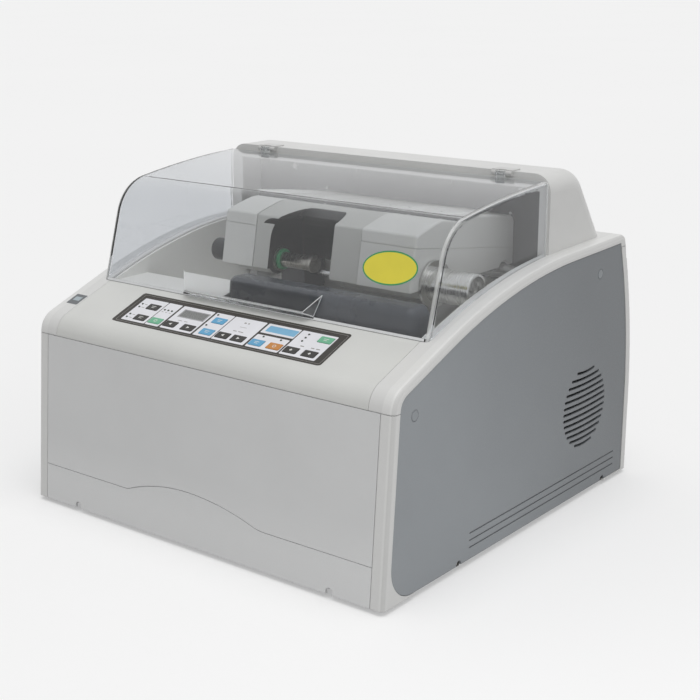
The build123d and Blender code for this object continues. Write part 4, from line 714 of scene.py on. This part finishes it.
# each printed field as left, right, low and high edge
FIELDS = (
    (-141.5, -105.5, -22.7, 20.2), (-104.4, -84.3, -22.7, 20.2), (-81.6, -35.3, -22.7, 20.2),
    (-32.6, -6.9, -22.7, 20.2), (-5.7, 39.0, -22.7, 20.2), (41.6, 85.6, 3.4, 20.2),
    (41.6, 85.0, -22.7, 0.0), (87.2, 133.4, -22.7, 20.2),
)
fields = []
for x0, x1, y0, y1 in FIELDS:
    fields.append(rounded((x0 + x1) / 2, (y0 + y1) / 2, (x1 - x0) / 2, (y1 - y0) / 2, 1.2))
for u, v in KEYS.values():
    fields.append(rounded(u, v, *KEY_HOLE))
for u, v in LAMPS:
    fields.append(ellipse(u, v, LAMP_HOLE, LAMP_HOLE, 20))
fields.append(rounded(*DISPLAY, *DISPLAY_HALF, 0.4))


def on_overlay(name, loops, height, thick, material):
    printed(name, loops, height, thick, DECK, material, "root")


on_overlay("overlay_fields", fields, FILM_TOP, FIELD_THICK, CELL_FILM)
border = [rounded(-3.9, 0.7, 148.2, 28.1, 3.2), rounded(-2.0, 0.0, 144.8, 27.3, 2.6)]
on_overlay("overlay_border", border, 0.02, 0.28, MATERIALS["overlay_film"])
rim_line = [rounded(-2.5, 0.2, 144.6, 25.9, 2.2), rounded(-2.5, 0.2, 144.2, 25.5, 2.0)]
on_overlay("overlay_rim_line", rim_line, FILM_TOP, 0.04, LINE_INK)


def bar(u, v, w, h=0.8):
    """A short bar with eased corners."""
    return rounded(u, v, w / 2, h / 2, min(w, h) * 0.3, 2)


# plain ticks and bars beside the lamps and keys
ticks = [
    bar(-131.5, 9.4, 4.0), bar(-131.5, 3.6, 4.0), bar(-131.5, -11.3, 4.0), bar(-131.5, -17.1, 4.0),
    bar(-100.2, 3.2, 3.0), bar(-94.8, 3.2, 3.0), bar(-89.4, 3.2, 3.0),
    bar(-66.0, -5.2, 6.0), bar(-57.5, -5.2, 5.0),
    bar(14.0, 12.6, 3.2, 2.0), bar(18.8, 12.6, 2.2, 2.0), bar(17.0, 5.0, 9.0, 0.5),
    bar(12.0, -3.0, 5.0, 1.2), bar(20.0, -3.0, 7.0, 1.2),
    bar(104.4, -4.6, 5.0, 1.4), bar(118.0, -4.6, 4.2, 1.4), bar(125.0, -4.6, 5.0, 1.4),
]
on_overlay("overlay_ticks", ticks, PRINT_TOP, 0.03, LINE_INK)
badge_blue = film("badge_blue", (0.20, 0.45, 0.66), 0.35)
on_overlay("overlay_badge", [rounded(65.2, 11.8, 19.5, 5.2, 1.2)], PRINT_TOP, 0.04, badge_blue)


def key_mark(name, kind):
    """A plain sign on a key, which moves with it."""
    u, v = KEYS[name]
    if kind == "diamond":
        loops = [[(u - 1.9, v), (u, v - 1.9), (u + 1.9, v), (u, v + 1.9)]]
    elif kind == "left":
        loops = [[(u - 2.2, v), (u + 1.6, v - 2.0), (u + 1.6, v + 2.0)]]
    elif kind == "right":
        loops = [[(u + 2.2, v), (u - 1.6, v - 2.0), (u - 1.6, v + 2.0)]]
    elif kind == "ring":
        loops = [ellipse(u, v, 2.2, 2.2, 28), ellipse(u, v, 1.5, 1.5, 28)]
    else:
        loops = [bar(u, v + 1.2, 6.4, 0.8), bar(u, v - 1.2, 4.6, 0.8)]
    printed(name + "_mark", loops, KEY_TOP, 0.03, DECK, MARK_WHITE, name)


for key_name, mark in (
        ("key_lens_type", "bars"), ("key_frame_type", "bars"), ("key_start", "ring"),
        ("key_size_down", "left"), ("key_size_up", "right"), ("key_bevel", "bars"),
        ("key_polish", "bars"), ("key_shift_left", "left"), ("key_shift_right", "right"),
        ("key_rinse", "bars"), ("key_stop", "ring"), ("key_clamp", "bars"),
        ("key_pressure_down", "diamond"), ("key_pressure_up", "diamond")):
    key_mark(key_name, mark)

for i, (u, v) in enumerate(LAMPS):
    lens = DECK @ Matrix.Translation((u * MM, v * MM, (FILM_TOP + 0.25) * MM))
    lathe("lamp_lens_%02d" % i, [(1.08, 0.0), (1.08, 0.25), (0.95, 0.5), (0.6, 0.7), (0.0, 0.78)],
          lens, LAMP_DARK, "root", 24)

bezel = [rounded(*DISPLAY, *DISPLAY_HALF, 0.6), rounded(*DISPLAY, 17.6, 5.9, 0.4)]
printed("display_bezel", bezel, FILM_TOP + 0.1, 0.12, DECK,
        film("display_bezel", (0.36, 0.36, 0.37), 0.4), "root")


def digit(u, v):
    """The seven bars of one digit."""
    level = [bar(u, v + dv, 2.6, 0.5) for dv in (3.2, 0, -3.2)]
    upright = [bar(u + du, v + dv, 0.5, 2.4) for dv in (1.6, -1.6) for du in (-1.7, 1.7)]
    return level + upright


segments = []
for column in range(4):
    segments += digit(DISPLAY[0] - 10.0 + 6.7 * column, DISPLAY[1])
printed("display_segments", segments, FILM_TOP + 0.1, 0.03, DECK,
        film("display_segment", (0.20, 0.205, 0.20), 0.2), "root")

# ------------------------------------------------------------------ lid
LABEL = (32.0, 15.9)        # half width and half height of the plain oval label
LABEL_RIM = (33.6, 17.4)
label_turn = radians(5.0)
label_face = turned_at(at(169.2, 118.1, 305.2), 90 - LID_LEAN)
label_edge = ellipse(0, 0, *LABEL, 72, label_turn)
printed("lid_label_rim", [ellipse(0, 0, *LABEL_RIM, 72, label_turn), label_edge],
        0.02, 0.08, label_face, LABEL_GREEN, "lid")
printed("lid_label", [label_edge], 0.02, 0.06, label_face, LABEL_YELLOW, "lid")

# painted highlights on the edges of the pull ledge, by its left and right tips
EDGE_HIGHLIGHT = film("painted_edge_highlight", (0.74, 0.75, 0.76), 0.25)
TIPS = {"left": (-92.0, -1), "right": (76.0, 1)}
for side, (tip_x, outward) in TIPS.items():
    top = at(tip_x + 15.0 * outward, 108.1, 268.1)
    low = at(tip_x + 8.4 * outward, 101.0, 245.6)
    tip = at(tip_x, 92.0, 250.1)
    tube("pull_edge_" + side, [low, top, tip, low], 0.45, EDGE_HIGHLIGHT, "lid")
tube("pull_edge_front", [at(tip_x, 92, 250.1) for tip_x, _ in TIPS.values()], 0.4, EDGE_HIGHLIGHT,
     "lid")

# a painted highlight strip along the foot of the lid, lower under the pull ledge
HIGHLIGHT_FOOT = 0.3
front_wall = turned_at(at(0, 99.5, 242.3), 90 - LID_LEAN)
for side, left, right, high in (("left", -224.0, -101.5, 3.1), ("mid", -101.3, 85.3, 1.3),
                                ("right", 85.5, 224.0, 3.1)):
    strip = rounded((left + right) / 2, (high + HIGHLIGHT_FOOT) / 2,
                    (right - left) / 2, (high - HIGHLIGHT_FOOT) / 2, 0.3)
    printed("lid_foot_highlight_" + side, [strip], 0.05, 0.3, front_wall, EDGE_HIGHLIGHT, "lid")

# ------------------------------------------------------------------ casing details
# a plain dark tag on the left rail
printed("rail_tag", [rounded(-230.5, -5.8, 8.6, 9.6, 1.0)], 0.02, 0.10, DECK,
        film("tag_dark", (0.13, 0.14, 0.15), 0.4), "root")
printed("rail_tag_field", [rounded(-230.5, -4.6, 5.0, 3.6, 0.6)], 0.12, 0.03, DECK,
        film("tag_pale", (0.38, 0.44, 0.47), 0.4), "root")

# dark plugs in the notches at the foot of the side panels, open at the bottom
PLUG_R = 4.3
plug = [(PLUG_R * sin(radians(a)), PLUG_R * cos(radians(a))) for a in range(-210, 31, 10)]
plug_loops = [plug, ellipse(-0.6, 0, 1.4, 1.4, 20)]
for side in (-1, 1):
    for i, y in enumerate((131.5, 441.5)):
        printed("foot_grommet_%d_%d" % (side + 1, i), plug_loops, -0.5, 1.0,
                turned_at(at(side * 247.0, y, 2.5), 90, "Y"), LAMP_DARK, "root")


# ------------------------------------------------------------------ head details
RING_IN, RING_OUT, RING_EASE = 8.52, 12.0, 0.4
RING_LEFT, RING_RIGHT = -46.6, -43.0
ring = [(RING_IN, RING_LEFT), (RING_OUT - RING_EASE, RING_LEFT), (RING_OUT, RING_LEFT + RING_EASE),
        (RING_OUT, RING_RIGHT - RING_EASE), (RING_OUT - RING_EASE, RING_RIGHT), (RING_IN, RING_RIGHT)]
lathe("chuck_ring", ring, turned_at(LENS_AXIS, 90, "Y"), RING_GREEN, "left_spindle", 72)

HEAD_SCREWS = ((-92.0, "head_cap_left"), (-70.0, "head_cap_left"), (-44.0, "head_bridge"),
               (-12.0, "head_bridge"), (76.0, "head_bridge"), (104.0, "head_cap_right"),
               (146.0, "head_cap_right"))
for i, (x, node_name) in enumerate(HEAD_SCREWS):
    point, normal = touch(node_name, at(x, 243, 365), (0, 0, -1))
    screw_head("head_screw_%d" % i, point, normal, SCREW_STEEL, 1.9, 0.9, "head")


# ------------------------------------------------------------------ bulkhead, rear and underside
# pale screw heads where glints show on the bulkhead; their pale colour is partly a painted glint
BULKHEAD_SCREWS = ((166.0, 348.0, 3.4), (150.6, 323.5, 1.7), (-114.0, 325.0, 1.8),
                   (-166.0, 348.0, 3.4))
for i, (x, z, r) in enumerate(BULKHEAD_SCREWS):
    screw_head("bulkhead_screw_%d" % i, at(x, 372, z), (0, -1, 0), SCREW_WHITE_GLINT, r, 1.0)


def rear_screws(name, height, places):
    """Screws in the rear panel, at one height."""
    for i, x in enumerate(places):
        point, normal = touch("rear_panel", at(x, 560, height), (0, -1, 0))
        screw_head("%s_%d" % (name, i), point, normal, SCREW_STEEL, 3.6, 1.5)


rear_screws("rear_screw", 262, (-220.0, -75.0, 75.0, 220.0))
rear_screws("rear_low_screw", 150, (-220.0, 220.0))
TRAY_UNDERSIDE = 4.0
TRAY_SCREWS = ((-215.0, 60.0), (215.0, 60.0), (-215.0, 250.0), (215.0, 250.0),
               (-215.0, 440.0), (215.0, 440.0), (-100.0, 470.0), (100.0, 470.0))
for i, (x, y) in enumerate(TRAY_SCREWS):
    screw_head("tray_screw_%d" % i, at(x, y, TRAY_UNDERSIDE), (0, 0, -1), SCREW_STEEL,
               3.6, 1.5)

# a plain plate with two rivets under the tray
RIVETS = (-34.0, 34.0)
plate = turned_at(at(-40, 400, TRAY_UNDERSIDE), 180)
plate_loops = [rounded(0, 0, 38, 21, 2.5)] + [ellipse(x, 0, 1.2, 1.2, 20) for x in RIVETS]
printed("rating_plate", plate_loops, 0.02, 0.4, plate, PLATE_GREY, "root")
for i, x in enumerate(RIVETS):
    lathe("plate_rivet_%d" % i, [(1.9, 0.42), (1.9, 0.6), (1.4, 1.1), (0.6, 1.35), (0.0, 1.4)],
          plate @ Matrix.Translation((x * MM, 0, 0)), SCREW_STEEL, "root", 24)

# the three contacts in the power inlet
for i, (x, z) in enumerate(((-157, 46), (-150, 51), (-143, 46))):
    printed("inlet_contact_%d" % i, [rounded(0, 0, 1.15, 2.15, 0.5)], -0.05, 13.6,
            turned_at(at(x, 499.6, z), 90), SCREW_STEEL, "root")


# ------------------------------------------------------------------ floor, light and camera
def floor():
    """Pale ground, which keeps the shadow and throws little light back up."""
    f = Finish("floor_pale", (0.9, 0.9, 0.9), 0.9)
    f.tree.nodes.remove(f.shader)
    seen = f.seen()
    pale = f.node("ShaderNodeBsdfDiffuse")
    tint = f.noise(f.place(), 0.8, 2.0)
    tone = f.blend(f.spread(tint, 0.3, 0.7), (0.945, 0.945, 0.945), (0.955, 0.955, 0.955))
    f.join(f.blend(seen, (0.5, 0.5, 0.5), tone), pale.inputs["Color"])
    glow = f.node("ShaderNodeEmission")
    glow.inputs["Color"].default_value = (0.97, 0.97, 0.97, 1)
    share = f.math("MULTIPLY", seen, 0.32)
    lit = mixed(f, share, pale.outputs["BSDF"], glow.outputs["Emission"])
    f.join(lit, f.output.inputs["Surface"])
    mesh = bpy.data.meshes.new("studio_floor")
    half = 30
    corners = [(-half, -half, 0), (half, -half, 0), (half, half, 0), (-half, half, 0)]
    mesh.from_pydata(corners, [], [(0, 1, 2, 3)])
    plane = bpy.data.objects.new("studio_floor", mesh)
    bpy.context.scene.collection.objects.link(plane)
    plane.data.materials.append(f.material)


def world(level, seen):
    """Even grey light, which looks paler where the picture shows it."""
    studio = bpy.data.worlds.new("studio")
    bpy.context.scene.world = studio
    studio.use_nodes = True
    tree = studio.node_tree
    tree.nodes.clear()
    pick = tree.nodes.new("ShaderNodeMixShader")
    tree.links.new(seen_rays(tree), pick.inputs["Fac"])
    for socket, grey in ((1, level), (2, seen)):
        light = tree.nodes.new("ShaderNodeBackground")
        light.inputs["Color"].default_value = (grey, grey, grey, 1)
        tree.links.new(light.outputs["Background"], pick.inputs[socket])
    output = tree.nodes.new("ShaderNodeOutputWorld")
    tree.links.new(pick.outputs["Shader"], output.inputs["Surface"])


def lamp_holder(name, kind, energy, direction):
    """A lamp that shines in a direction."""
    lamp = bpy.data.lights.new(name, kind)
    lamp.energy = energy
    holder = bpy.data.objects.new(name, lamp)
    holder.rotation_euler = Vector(direction).to_track_quat("-Z", "Y").to_euler()
    bpy.context.scene.collection.objects.link(holder)
    return holder


def sun(name, direction, energy, angle):
    lamp_holder(name, "SUN", energy, direction).data.angle = radians(angle)


def panel_light(name, place, target, energy, wide, high):
    """A soft panel that mirrors and the lid don't show."""
    holder = lamp_holder(name, "AREA", energy, Vector(target) - Vector(place))
    holder.location = place
    holder.data.shape = "RECTANGLE"
    holder.data.size = wide
    holder.data.size_y = high
    holder.visible_glossy = False
    holder.visible_transmission = False


floor()
world(level=0.50, seen=0.90)
sun("key_light", (-0.14, 0.10, -0.98), 1.25, 50)
panel_light("side_light", (1.10, -0.70, 0.30), (0.25, -0.10, 0.10), 1.7, 0.6, 0.4)

# the photograph's view, found from the casing's edges
camera_data = bpy.data.cameras.new("photo_camera")
camera_data.lens = 70.287
camera_data.sensor_width = 36.0
camera_data.clip_start = 0.05
camera_data.clip_end = 100.0
camera = bpy.data.objects.new("photo_camera", camera_data)
camera.location = (0.9524, -1.2071, 0.5981)
camera.rotation_euler = (radians(90 - 15.66), 0.0, radians(37.82))
bpy.context.scene.collection.objects.link(camera)
bpy.context.scene.camera = camera
bpy.context.scene.view_settings.view_transform = "Standard"
